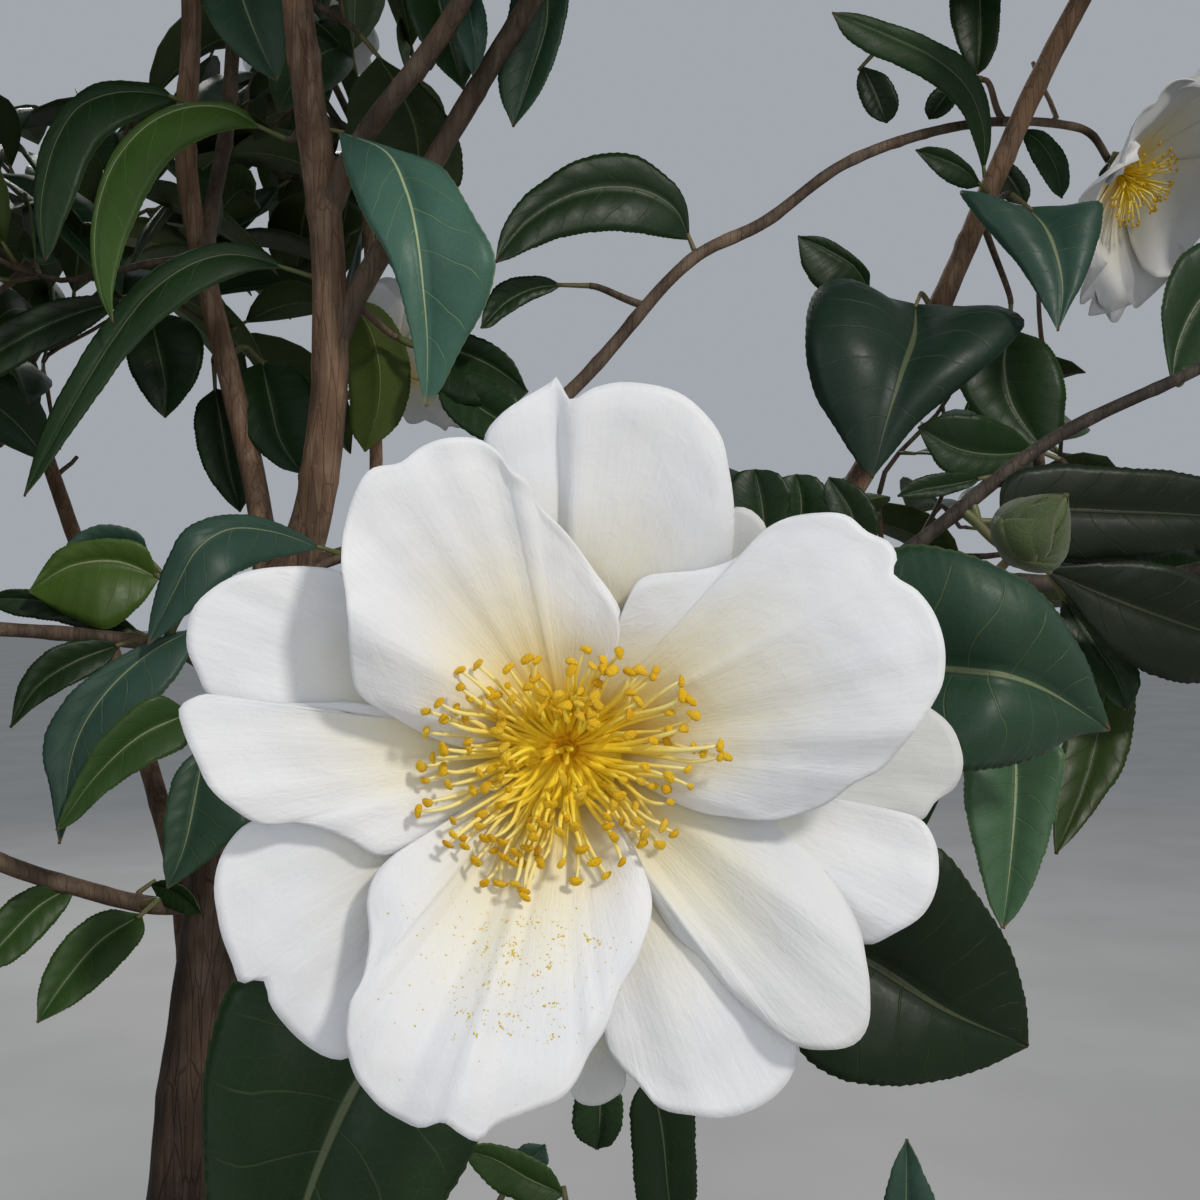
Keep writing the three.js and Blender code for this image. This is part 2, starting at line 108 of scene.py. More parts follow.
# ----------------------------------------------------------- small helpers
def unit(v):
    v = np.asarray(v, float)
    n = np.linalg.norm(v, axis=-1, keepdims=True)
    return v / np.where(n < 1e-12, 1, n)


def smooth(a, b, x):
    t = np.clip((x - a) / (b - a), 0, 1)
    return t * t * (3 - 2 * t)


def spline(points, n, ends=0.0):
    """n points evenly spaced along a centripetal Catmull-Rom curve."""
    p = np.asarray(points, float)
    if len(p) == 2:
        t = np.linspace(ends, 1 - ends, n)[:, None]
        return p[0] * (1 - t) + p[1] * t
    first = 2 * p[0] - p[1]
    last = 2 * p[-1] - p[-2]
    q = np.vstack([first, p, last])
    out = []
    for i in range(1, len(q) - 2):
        a, b, c, e = q[i - 1], q[i], q[i + 1], q[i + 2]
        t0 = 0.0
        t1 = t0 + max(np.linalg.norm(b - a), 1e-9) ** 0.5
        t2 = t1 + max(np.linalg.norm(c - b), 1e-9) ** 0.5
        t3 = t2 + max(np.linalg.norm(e - c), 1e-9) ** 0.5
        t = np.linspace(t1, t2, 25)[:, None]
        a1 = (t1 - t) / (t1 - t0) * a + (t - t0) / (t1 - t0) * b
        a2 = (t2 - t) / (t2 - t1) * b + (t - t1) / (t2 - t1) * c
        a3 = (t3 - t) / (t3 - t2) * c + (t - t2) / (t3 - t2) * e
        b1 = (t2 - t) / (t2 - t0) * a1 + (t - t0) / (t2 - t0) * a2
        b2 = (t3 - t) / (t3 - t1) * a2 + (t - t1) / (t3 - t1) * a3
        out.append(((t2 - t) / (t2 - t1) * b1 + (t - t1) / (t2 - t1) * b2)[: 24 if i < len(q) - 3 else 25])
    c = np.vstack(out)
    s = np.concatenate([[0], np.cumsum(np.linalg.norm(np.diff(c, axis=0), axis=1))])
    want = np.linspace(ends, 1 - ends, n) * s[-1]
    return np.stack([np.interp(want, s, c[:, k]) for k in range(c.shape[1])], axis=1)


def bezier(a, b, c, e, n):
    t = np.linspace(0, 1, n)[:, None]
    return (1 - t) ** 3 * a + 3 * (1 - t) ** 2 * t * b + 3 * (1 - t) * t ** 2 * c + t ** 3 * e


def wobble(seed, n, octaves=3, periods=4.0):
    """A smooth seeded line of n values between about -1 and 1."""
    r = np.random.RandomState(seed)
    t = np.linspace(0, 1, n)
    out = np.zeros(n)
    size = 1.0
    for k in range(octaves):
        m = int(periods * 2 ** k) + 3
        out += size * np.interp(t * (m - 1), np.arange(m), r.uniform(-1, 1, m))
        size *= 0.5
    w = np.hanning(7)
    return np.convolve(np.pad(out, 3, mode="edge"), w / w.sum(), mode="valid")


def clumps(p, scale, seed=0.0):
    """Noise at an array of points."""
    flat = np.asarray(p, float).reshape(-1, 3) * scale + seed
    out = np.fromiter((noise.noise(Vector(v)) for v in flat), float, len(flat))
    return out.reshape(np.asarray(p).shape[:-1])


class Soup:
    """Many small meshes joined into one."""

    def __init__(self):
        self.v, self.f, self.m, self.uv, self.c, self.n = [], [], [], [], [], 0

    def add(self, v, quads, mat=0, uv=None, tint=(0.5, 0, 0)):
        v = np.asarray(v, float).reshape(-1, 3)
        self.v.append(v)
        quads = np.asarray(quads, int)
        moved = quads + self.n
        moved[quads < 0] = -1   # a triangle has three corners
        self.f.append(moved)
        self.m.append(np.full(len(quads), mat, int) if np.isscalar(mat) else np.asarray(mat, int))
        self.uv.append(np.zeros((len(v), 2)) if uv is None else np.asarray(uv, float).reshape(-1, 2))
        t = np.asarray(tint, float)
        self.c.append(np.tile(t, (len(v), 1)) if t.ndim == 1 else t.reshape(-1, 3))
        self.n += len(v)

    def build(self, name, materials, slot, replaces=(), flat=False):
        v = np.vstack(self.v)
        f = np.vstack(self.f)
        m = np.concatenate(self.m)
        uv = np.vstack(self.uv)
        c = np.vstack(self.c)
        lists = f.tolist()
        for i in np.nonzero(f[:, 3] < 0)[0] if (f[:, 3] < 0).any() else []:
            lists[i] = lists[i][:3]
        mesh = bpy.data.meshes.new(name)
        mesh.from_pydata(v.tolist(), [], lists)
        for material in materials:
            mesh.materials.append(material)
        mesh.polygons.foreach_set("material_index", m.astype(np.int32))
        mesh.polygons.foreach_set("use_smooth", np.full(len(lists), not flat))
        loops = np.empty(len(mesh.loops), np.int32)
        mesh.loops.foreach_get("vertex_index", loops)
        layer = mesh.uv_layers.new(name="Place")
        layer.data.foreach_set("uv", uv[loops].astype(np.float32).ravel())
        tint = mesh.color_attributes.new("Tint", "FLOAT_COLOR", "POINT")
        rgba = np.ones((len(v), 4), np.float32)
        rgba[:, :3] = c
        tint.data.foreach_set("color", rgba.ravel())
        mesh.update()
        mesh.validate()
        piece = bpy.data.objects.new(name, mesh)
        scene.collection.objects.link(piece)
        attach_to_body(piece, "root")
        if replaces:
            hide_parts(*replaces)
        return piece


def grid_quads(rows, cols, start=0, flip=False, wrap=False):
    i, j = np.meshgrid(np.arange(rows - 1), np.arange(cols if wrap else cols - 1), indexing="ij")
    a = start + i * cols + j
    b = start + i * cols + (j + 1) % cols
    q = np.stack([a, b, b + cols, a + cols], axis=-1).reshape(-1, 4)
    return q[:, ::-1] if flip else q


def grid_normals(g):
    du = np.gradient(g, axis=1)
    dv = np.gradient(g, axis=0)
    return unit(np.cross(dv, du))


def shell(top, thick):
    """A closed thin shell under a grid of points: vertices, faces, and which faces are its upper side."""
    rows, cols = top.shape[:2]
    nrm = grid_normals(top)
    t = thick if np.isscalar(thick) else np.asarray(thick)[..., None]
    low = top - nrm * t
    v = np.concatenate([top.reshape(-1, 3), low.reshape(-1, 3)])
    k = rows * cols
    up = grid_quads(rows, cols, 0, flip=True)
    down = grid_quads(rows, cols, k, flip=False)
    rim = []
    for i in range(rows - 1):
        rim.append((i * cols, (i + 1) * cols, k + (i + 1) * cols, k + i * cols))
        a = i * cols + cols - 1
        rim.append((a + cols, a, k + a, k + a + cols))
    for j in range(cols - 1):
        rim.append((j + 1, j, k + j, k + j + 1))
        a = (rows - 1) * cols + j
        rim.append((a, a + 1, k + a + 1, k + a))
    f = np.vstack([up, down, np.array(rim)[:, ::-1]])
    side = np.concatenate([np.zeros(len(up), int), np.ones(len(down) + len(rim), int)])
    return v, f, side


def tube(path, radius, sides, caps=True, shape=None):
    """A closed tube along a path; shape adds to the radius at each ring and side."""
    path = np.asarray(path, float)
    n = len(path)
    tan = unit(np.gradient(path, axis=0))
    side = np.array((1.0, 0.0, 0.0)) if abs(tan[0][0]) < 0.9 else np.array((0.0, 1.0, 0.0))
    rings = np.empty((n, sides, 3))
    ang = np.arange(sides) / sides * 2 * math.pi
    radius = np.broadcast_to(radius, (n,))
    frames = []
    for i in range(n):
        side = unit(side - tan[i] * side.dot(tan[i]))
        up = np.cross(tan[i], side)
        frames.append((side, up))
        r = radius[i] + (0 if shape is None else shape[i])
        rings[i] = path[i] + (np.cos(ang)[:, None] * side + np.sin(ang)[:, None] * up) * np.broadcast_to(r, (sides,))[:, None]
    v = rings.reshape(-1, 3)
    q = grid_quads(n, sides, 0, wrap=True)
    if caps:
        v = np.vstack([v, path[0], path[-1]])
        a, b = n * sides, n * sides + 1
        low = [(a, (j + 1) % sides, j, -1) for j in range(sides)]
        top = [(b, (n - 1) * sides + j, (n - 1) * sides + (j + 1) % sides, -1) for j in range(sides)]
        q = np.vstack([q, np.array(low), np.array(top)])
    return v, q, rings


# --------------------------------------------------------------- materials
class Nodes:
    def __init__(self, name):
        self.material = bpy.data.materials.new(name)
        self.material.use_nodes = True
        self.tree = self.material.node_tree
        self.bsdf = self.tree.nodes["Principled BSDF"]

    def new(self, kind, **values):
        node = self.tree.nodes.new(kind)
        for key, value in values.items():
            if hasattr(node, key):
                setattr(node, key, value)
        return node

    def link(self, a, b):
        self.tree.links.new(a, b)

    def put(self, socket, value):
        if isinstance(value, bpy.types.NodeSocket):
            self.link(value, socket)
        else:
            socket.default_value = value

    def math(self, op, a, b=None, c=None, clamp=False):
        node = self.new("ShaderNodeMath", operation=op)
        node.use_clamp = clamp
        for socket, value in zip(node.inputs, (a, b, c)):
            if value is not None:
                self.put(socket, value)
        return node.outputs[0]

    def step(self, x, low, high, a=0.0, b=1.0):
        node = self.new("ShaderNodeMapRange", interpolation_type="SMOOTHSTEP")
        self.put(node.inputs["Value"], x)
        for key, value in (("From Min", low), ("From Max", high), ("To Min", a), ("To Max", b)):
            self.put(node.inputs[key], value)
        return node.outputs["Result"]

    def mix(self, fac, a, b, blend="MIX"):
        node = self.new("ShaderNodeMix", data_type="RGBA", blend_type=blend)
        self.put(node.inputs["Factor"], fac)
        for socket, value in ((node.inputs[6], a), (node.inputs[7], b)):
            if not isinstance(value, bpy.types.NodeSocket) and len(value) == 3:
                value = (*value, 1)
            self.put(socket, value)
        return node.outputs[2]

    def noise(self, scale, detail=4, rough=0.55, vector=None, stretch=None, distort=0.0):
        node = self.new("ShaderNodeTexNoise", noise_dimensions="3D" if vector is None else "2D")
        node.inputs["Scale"].default_value = scale
        node.inputs["Detail"].default_value = detail
        node.inputs["Roughness"].default_value = rough
        node.inputs["Distortion"].default_value = distort
        self.link(self.where(vector, stretch), node.inputs["Vector"])
        return node.outputs["Fac"]

    def cells(self, scale, feature="F1", vector=None, stretch=None, out="Distance"):
        node = self.new("ShaderNodeTexVoronoi", voronoi_dimensions="3D" if vector is None else "2D", feature=feature)
        node.inputs["Scale"].default_value = scale
        self.link(self.where(vector, stretch), node.inputs["Vector"])
        return node.outputs[out]

    def where(self, vector, stretch):
        if vector is None:
            if not hasattr(self, "coord"):
                self.coord = self.new("ShaderNodeTexCoord")
            vector = self.coord.outputs["Object"]
        if stretch is None:
            return vector
        node = self.new("ShaderNodeMapping")
        node.inputs["Scale"].default_value = stretch
        self.link(vector, node.inputs["Vector"])
        return node.outputs["Vector"]

    def place(self):
        node = self.new("ShaderNodeUVMap")
        node.uv_map = "Place"
        split = self.new("ShaderNodeSeparateXYZ")
        self.link(node.outputs["UV"], split.inputs[0])
        return node.outputs["UV"], split.outputs["X"], split.outputs["Y"]

    def tint(self):
        node = self.new("ShaderNodeAttribute")
        node.attribute_name = "Tint"
        split = self.new("ShaderNodeSeparateColor")
        self.link(node.outputs["Color"], split.inputs[0])
        return split.outputs["Red"], split.outputs["Green"], split.outputs["Blue"]

    def bump(self, height, distance, strength=1.0, under=None):
        node = self.new("ShaderNodeBump")
        node.inputs["Distance"].default_value = distance
        node.inputs["Strength"].default_value = strength
        self.link(height, node.inputs["Height"])
        if under is not None:
            self.link(under, node.inputs["Normal"])
        return node.outputs["Normal"]

    def finish(self, colour=None, rough=None, normal=None, **fixed):
        if colour is not None:
            self.put(self.bsdf.inputs["Base Color"], colour)
        if rough is not None:
            self.put(self.bsdf.inputs["Roughness"], rough)
        if normal is not None:
            self.link(normal, self.bsdf.inputs["Normal"])
        for key, value in fixed.items():
            self.bsdf.inputs[key.replace("_", " ")].default_value = value
        return self.material


def leaf_material(name, deep, blue, young, under=False):
    m = Nodes(name)
    uv, u, v = m.place()
    light, cool, warm = m.tint()
    across = m.math("ABSOLUTE", m.math("MULTIPLY_ADD", u, 2.0, -1.0))
    # midrib, wider at the foot
    wide = m.math("MULTIPLY_ADD", m.math("SUBTRACT", 1.0, v), 0.020, 0.010)
    ratio = m.math("DIVIDE", across, wide)
    rib = m.step(ratio, 0.7, 1.7, 1.0, 0.0)
    # side veins, arching forward and looping before the margin
    bend = m.math("MULTIPLY", m.math("POWER", across, 1.25), 0.16)
    right = m.math("MULTIPLY", m.math("GREATER_THAN", u, 0.5), 0.45)
    wander = m.math("MULTIPLY", m.noise(2.1, 1, 0.40, vector=uv, stretch=(1.2, 2.4, 1)), 0.62)
    phase = m.math("ADD", m.math("ADD", m.math("MULTIPLY", m.math("SUBTRACT", v, bend), 8.5), right), wander)
    near = m.math("ABSOLUTE", m.math("SUBTRACT", m.math("FRACT", phase), 0.5))
    fade = m.step(across, 0.66, 0.94, 1.0, 0.0)
    veins = m.math("MULTIPLY", m.step(near, 0.006, 0.030, 1.0, 0.0), fade)
    edges = m.cells(5.2, "DISTANCE_TO_EDGE", vector=uv, stretch=(2.2, 6, 1))
    net = m.step(edges, 0.0, 0.035, 1.0, 0.0)
    small = m.step(m.cells(21.0, "DISTANCE_TO_EDGE", vector=uv, stretch=(2.0, 5.6, 1)), 0.0, 0.12, 1.0, 0.0)
    blotch = m.noise(55, 2, 0.6)
    fine = m.noise(1500, 1, 0.6)
    mid = m.noise(300, 2, 0.6)
    base = m.mix(cool, deep, blue)
    base = m.mix(warm, base, young)
    # the tint's light value scales the colour: random tone on the grown leaves, and painted light and shade on the
    # listed leaves
    bright = m.math("MULTIPLY", m.math("MULTIPLY", light, 2.0), m.math("MULTIPLY_ADD", blotch, 0.5, 0.75))
    shade = m.new("ShaderNodeCombineColor")
    for socket in shade.inputs[:3]:
        m.link(bright, socket)
    pale = (0.190, 0.240, 0.095, 1) if not under else (0.22, 0.27, 0.10, 1)
    amount = m.math("MULTIPLY", veins, 0.23 if not under else 0.32)
    amount = m.math("ADD", amount, m.math("MULTIPLY", net, 0.07 if not under else 0.12))
    amount = m.math("ADD", amount, m.math("MULTIPLY", small, 0.035), clamp=True)
    edge = m.math("MULTIPLY", m.step(across, 0.965, 1.0), 0.26)
    amount = m.math("MAXIMUM", amount, edge)
    colour = m.mix(amount, base, pale)
    colour = m.mix(m.math("MULTIPLY", rib, 0.72), colour, (0.245, 0.285, 0.150) if not under else pale)
    colour = m.mix(m.math("MULTIPLY", m.step(v, 0.955, 0.997), 0.65), colour, (0.150, 0.100, 0.055))
    colour = m.mix(1.0, colour, shade.outputs[0], "MULTIPLY")
    if under:
        height = m.math("ADD", m.math("MULTIPLY", rib, 1.0), m.math("MULTIPLY", veins, 0.5))
        height = m.math("ADD", height, m.math("ADD", m.math("MULTIPLY", net, 0.12), m.math("MULTIPLY", fine, 0.10)))
        return m.finish(colour, m.math("MULTIPLY_ADD", mid, 0.25, 0.42), m.bump(height, 0.0003), Specular_IOR_Level=0.22)
    height = m.math("ADD", m.math("MULTIPLY", rib, 0.35), m.math("MULTIPLY", veins, -0.30))
    height = m.math("ADD", height, m.math("MULTIPLY", fine, 0.05))
    height = m.math("ADD", height, m.math("MULTIPLY", mid, 0.16))
    rough = m.math("MULTIPLY_ADD", m.noise(420, 2, 0.7), 0.26, 0.31)
    return m.finish(colour, rough, m.bump(height, 0.0004), Specular_IOR_Level=0.28)


LEAF_TOP = leaf_material("leaf_upper", (0.014, 0.047, 0.008), (0.025, 0.060, 0.045), (0.080, 0.130, 0.010))
LEAF_UNDER = leaf_material("leaf_under", (0.036, 0.066, 0.013), (0.044, 0.076, 0.034), (0.095, 0.130, 0.018), under=True)


def bark_material(name, dark, light, grey, rough_base=0.72, cracked=0.12):
    m = Nodes(name)
    strands = m.noise(420, 4, 0.62, stretch=(1, 1, 0.11))
    broad = m.noise(30, 2, 0.6, stretch=(1, 1, 0.4))
    cloud = m.noise(120, 3, 0.6, stretch=(1, 1, 0.5))
    spots = m.step(m.cells(330, stretch=(1, 1, 0.8)), 0.05, 0.15, 1.0, 0.0)
    cracks = m.step(m.cells(400, "DISTANCE_TO_EDGE", stretch=(1, 1, 0.09)), 0.0, 0.05, 1.0, 0.0)
    light_v, cool, warm = m.tint()
    colour = m.mix(m.step(broad, 0.35, 0.66), dark, light)
    colour = m.mix(m.math("MULTIPLY", m.step(cloud, 0.42, 0.70), 0.45), colour, grey)
    colour = m.mix(m.math("MULTIPLY", m.step(strands, 0.50, 0.66), 0.35), colour, grey)
    colour = m.mix(m.math("MULTIPLY", m.step(strands, 0.30, 0.46, 1.0, 0.0), 0.45), colour, tuple(0.45 * c for c in dark))
    colour = m.mix(m.math("MULTIPLY", cracks, cracked * 2), colour, tuple(0.4 * c for c in dark))
    colour = m.mix(m.math("MULTIPLY", spots, 0.30), colour, tuple(min(1, 1.5 * c) for c in grey))
    bright = m.math("MULTIPLY", light_v, 2.0)
    shade = m.new("ShaderNodeCombineColor")
    for socket in shade.inputs[:3]:
        m.link(bright, socket)
    colour = m.mix(1.0, colour, shade.outputs[0], "MULTIPLY")
    height = m.math("ADD", m.math("MULTIPLY", strands, 0.8), m.math("MULTIPLY", cracks, -cracked * 2))
    height = m.math("ADD", height, m.math("MULTIPLY", spots, 0.3))
    return m.finish(colour, m.math("MULTIPLY_ADD", strands, 0.22, rough_base - 0.1), m.bump(height, 0.0005), Specular_IOR_Level=0.3)


BARK_TRUNK = bark_material("bark_trunk", (0.026, 0.016, 0.012), (0.072, 0.043, 0.029), (0.110, 0.078, 0.060), cracked=0.25)
BARK_STEM = bark_material("bark_stem", (0.092, 0.052, 0.032), (0.250, 0.145, 0.084), (0.320, 0.225, 0.155), cracked=0.18)
BARK_TWIG = bark_material("bark_twig", (0.052, 0.034, 0.024), (0.135, 0.090, 0.060), (0.200, 0.152, 0.112))
# painted shade: a darker copy of the twig bark, for the boughs that lie in shadow
BARK_PAINTED_SHADE_TWIG = bark_material("bark_painted_shade_twig", (0.026, 0.019, 0.014), (0.070, 0.051, 0.037), (0.105, 0.086, 0.068))


def stalk_material():
    m = Nodes("leaf_stalk")
    along = m.noise(500, 3, 0.6, stretch=(1, 1, 0.3))
    colour = m.mix(m.step(m.noise(60, 2), 0.35, 0.7), (0.105, 0.130, 0.035), (0.165, 0.120, 0.060))
    return m.finish(colour, m.math("MULTIPLY_ADD", along, 0.2, 0.4), m.bump(along, 0.0002), Specular_IOR_Level=0.45)


STALK = stalk_material()


def petal_material(name, white=(0.864, 0.866, 0.880), cool=(0.775, 0.800, 0.860), cream=(0.885, 0.805, 0.520), yellow=(0.90, 0.64, 0.085)):
    m = Nodes(name)
    uv, s, r = m.place()
    light, grey, foot = m.tint()
    strands = m.noise(9.0, 3, 0.6, vector=uv, stretch=(10.0, 0.55, 1))
    crinkle = m.noise(8.0, 3, 0.60, vector=uv, stretch=(4.2, 2.2, 1), distort=0.6)
    crush = m.noise(420, 2, 0.6)
    patch = m.noise(60, 2, 0.55)
    colour = m.mix(m.math("MULTIPLY", m.step(patch, 0.38, 0.68), 0.35), white, cool)
    colour = m.mix(m.math("MULTIPLY", m.step(strands, 0.50, 0.70), 0.15), colour, cool)
    # painted shade: the tint's second value greys the petals that lie in shadow
    colour = m.mix(m.math("MULTIPLY", grey, 0.85), colour, (0.66, 0.665, 0.65))
    far = m.math("MULTIPLY_ADD", strands, 0.16, -0.08)
    reach = m.math("ADD", r, far)
    # cream, then yellow towards the heart: partly the petals' own base colour and partly painted glow of light thrown
    # back by the stamens
    soft = m.math("MULTIPLY", m.step(reach, 0.16, 0.80, 1.0, 0.0), 0.95)
    colour = m.mix(m.math("MULTIPLY", soft, foot, clamp=True), colour, cream)
    yellow_base_and_painted_glow = m.step(reach, 0.06, 0.36, 1.0, 0.0)
    colour = m.mix(m.math("MULTIPLY", yellow_base_and_painted_glow, foot, clamp=True), colour, yellow)
    height = m.math("ADD", m.math("MULTIPLY", strands, 0.30), m.math("MULTIPLY", crinkle, 0.34))
    height = m.math("ADD", height, m.math("MULTIPLY", crush, 0.10))
    height = m.math("ADD", height, m.math("MULTIPLY", patch, 0.75))
    return m.finish(colour, m.math("MULTIPLY_ADD", crush, 0.2, 0.48), m.bump(height, 0.0005, 0.65),
                    Specular_IOR_Level=0.30, Sheen_Weight=0.10, Sheen_Roughness=0.4)


PETAL = petal_material("petal")


def filament_material():
    m = Nodes("filament")
    uv, s, r = m.place()
    strands = m.noise(700, 1, 0.5)
    colour = m.mix(m.step(r, 0.02, 0.26), (0.99, 0.62, 0.008), (0.99, 0.745, 0.028))
    colour = m.mix(m.step(r, 0.36, 1.00), colour, (0.98, 0.85, 0.36))
    colour = m.mix(m.math("MULTIPLY", strands, 0.12), colour, (0.97, 0.84, 0.36))
    return m.finish(colour, 0.5, m.bump(strands, 0.0001), Specular_IOR_Level=0.2)


def anther_material(name="anther", bright=(0.98, 0.61, 0.022), deep=(0.64, 0.29, 0.006)):
    m = Nodes(name)
    light, cool, warm = m.tint()
    grain = m.noise(3600, 3, 0.7)
    dust = m.cells(5200)
    # painted shade: the deep colour is the anthers' colour in shade; it darkens part of the real grain and, through the
    # tint, some whole anthers
    colour = m.mix(m.math("MULTIPLY", m.step(grain, 0.35, 0.7), 0.5), bright, deep)
    colour = m.mix(cool, colour, deep)
    colour = m.mix(warm, colour, (0.97, 0.76, 0.13))
    height = m.math("ADD", m.math("MULTIPLY", grain, 0.8), m.math("MULTIPLY", dust, 0.7))
    return m.finish(colour, 0.85, m.bump(height, 0.00022), Specular_IOR_Level=0.15)


FILAMENT = filament_material()
ANTHER = anther_material()


def scale_material():
    m = Nodes("bud_scale")
    uv, s, r = m.place()
    down = m.noise(1800, 3, 0.6)
    streak = m.noise(12, 3, 0.6, vector=uv, stretch=(5, 0.6, 1))
    # painted shade: these greens are darker than the scales' own colour; each scale also runs darker towards its base
    colour = m.mix(m.step(r, 0.2, 0.95), (0.026, 0.050, 0.007), (0.062, 0.094, 0.022))
    colour = m.mix(m.math("MULTIPLY", streak, 0.30), colour, (0.095, 0.120, 0.032))
    colour = m.mix(m.step(r, 0.93, 1.0, 0.0, 0.5), colour, (0.20, 0.15, 0.075))
    return m.finish(colour, 0.55, m.bump(m.math("ADD", down, m.math("MULTIPLY", streak, 0.6)), 0.00025), Sheen_Weight=0.25,
                    Sheen_Roughness=0.4)


SCALE = scale_material()


def tub_material():
    m = Nodes("tub_plastic")
    grain = m.noise(900, 3, 0.6)
    cloud = m.noise(7, 4, 0.6)
    scuffs = m.step(m.noise(40, 5, 0.75, stretch=(1, 1, 0.25)), 0.62, 0.74)
    dusty = m.noise(26, 5, 0.7)
    split = m.new("ShaderNodeSeparateXYZ")
    m.link(m.where(None, None), split.inputs[0])
    low = m.step(split.outputs["Z"], 0.0, 0.11, 1.0, 0.0)
    colour = m.mix(m.math("MULTIPLY", m.step(cloud, 0.35, 0.7), 0.5), (0.60, 0.61, 0.61), (0.53, 0.54, 0.545))
    colour = m.mix(m.math("MULTIPLY", scuffs, 0.35), colour, (0.72, 0.72, 0.715))
    colour = m.mix(m.math("MULTIPLY", m.math("MULTIPLY", low, m.step(dusty, 0.42, 0.66)), 0.55), colour, (0.33, 0.28, 0.22))
    rough = m.math("MULTIPLY_ADD", scuffs, 0.2, 0.44)
    return m.finish(colour, rough, m.bump(m.math("ADD", m.math("MULTIPLY", grain, 0.5), scuffs), 0.0002), Specular_IOR_Level=0.45)


def mix_material():
    m = Nodes("potting_mix")
    crumbs = m.noise(260, 6, 0.75)
    lumps = m.cells(120)
    colour = m.mix(m.step(crumbs, 0.3, 0.72), (0.022, 0.013, 0.008), (0.082, 0.052, 0.032))
    colour = m.mix(m.step(m.cells(520), 0.05, 0.16, 1.0, 0.0), colour, (0.30, 0.27, 0.23))
    return m.finish(colour, 0.92, m.bump(m.math("ADD", crumbs, lumps), 0.003), Specular_IOR_Level=0.2)


def chip_material():
    m = Nodes("bark_chip")
    light, cool, warm = m.tint()
    grain = m.noise(420, 5, 0.7, stretch=(1, 0.3, 0.6))
    colour = m.mix(light, (0.055, 0.028, 0.016), (0.22, 0.12, 0.062))
    colour = m.mix(m.math("MULTIPLY", m.step(grain, 0.45, 0.7), 0.55), colour, (0.30, 0.20, 0.13))
    return m.finish(colour, 0.85, m.bump(grain, 0.001), Specular_IOR_Level=0.2)


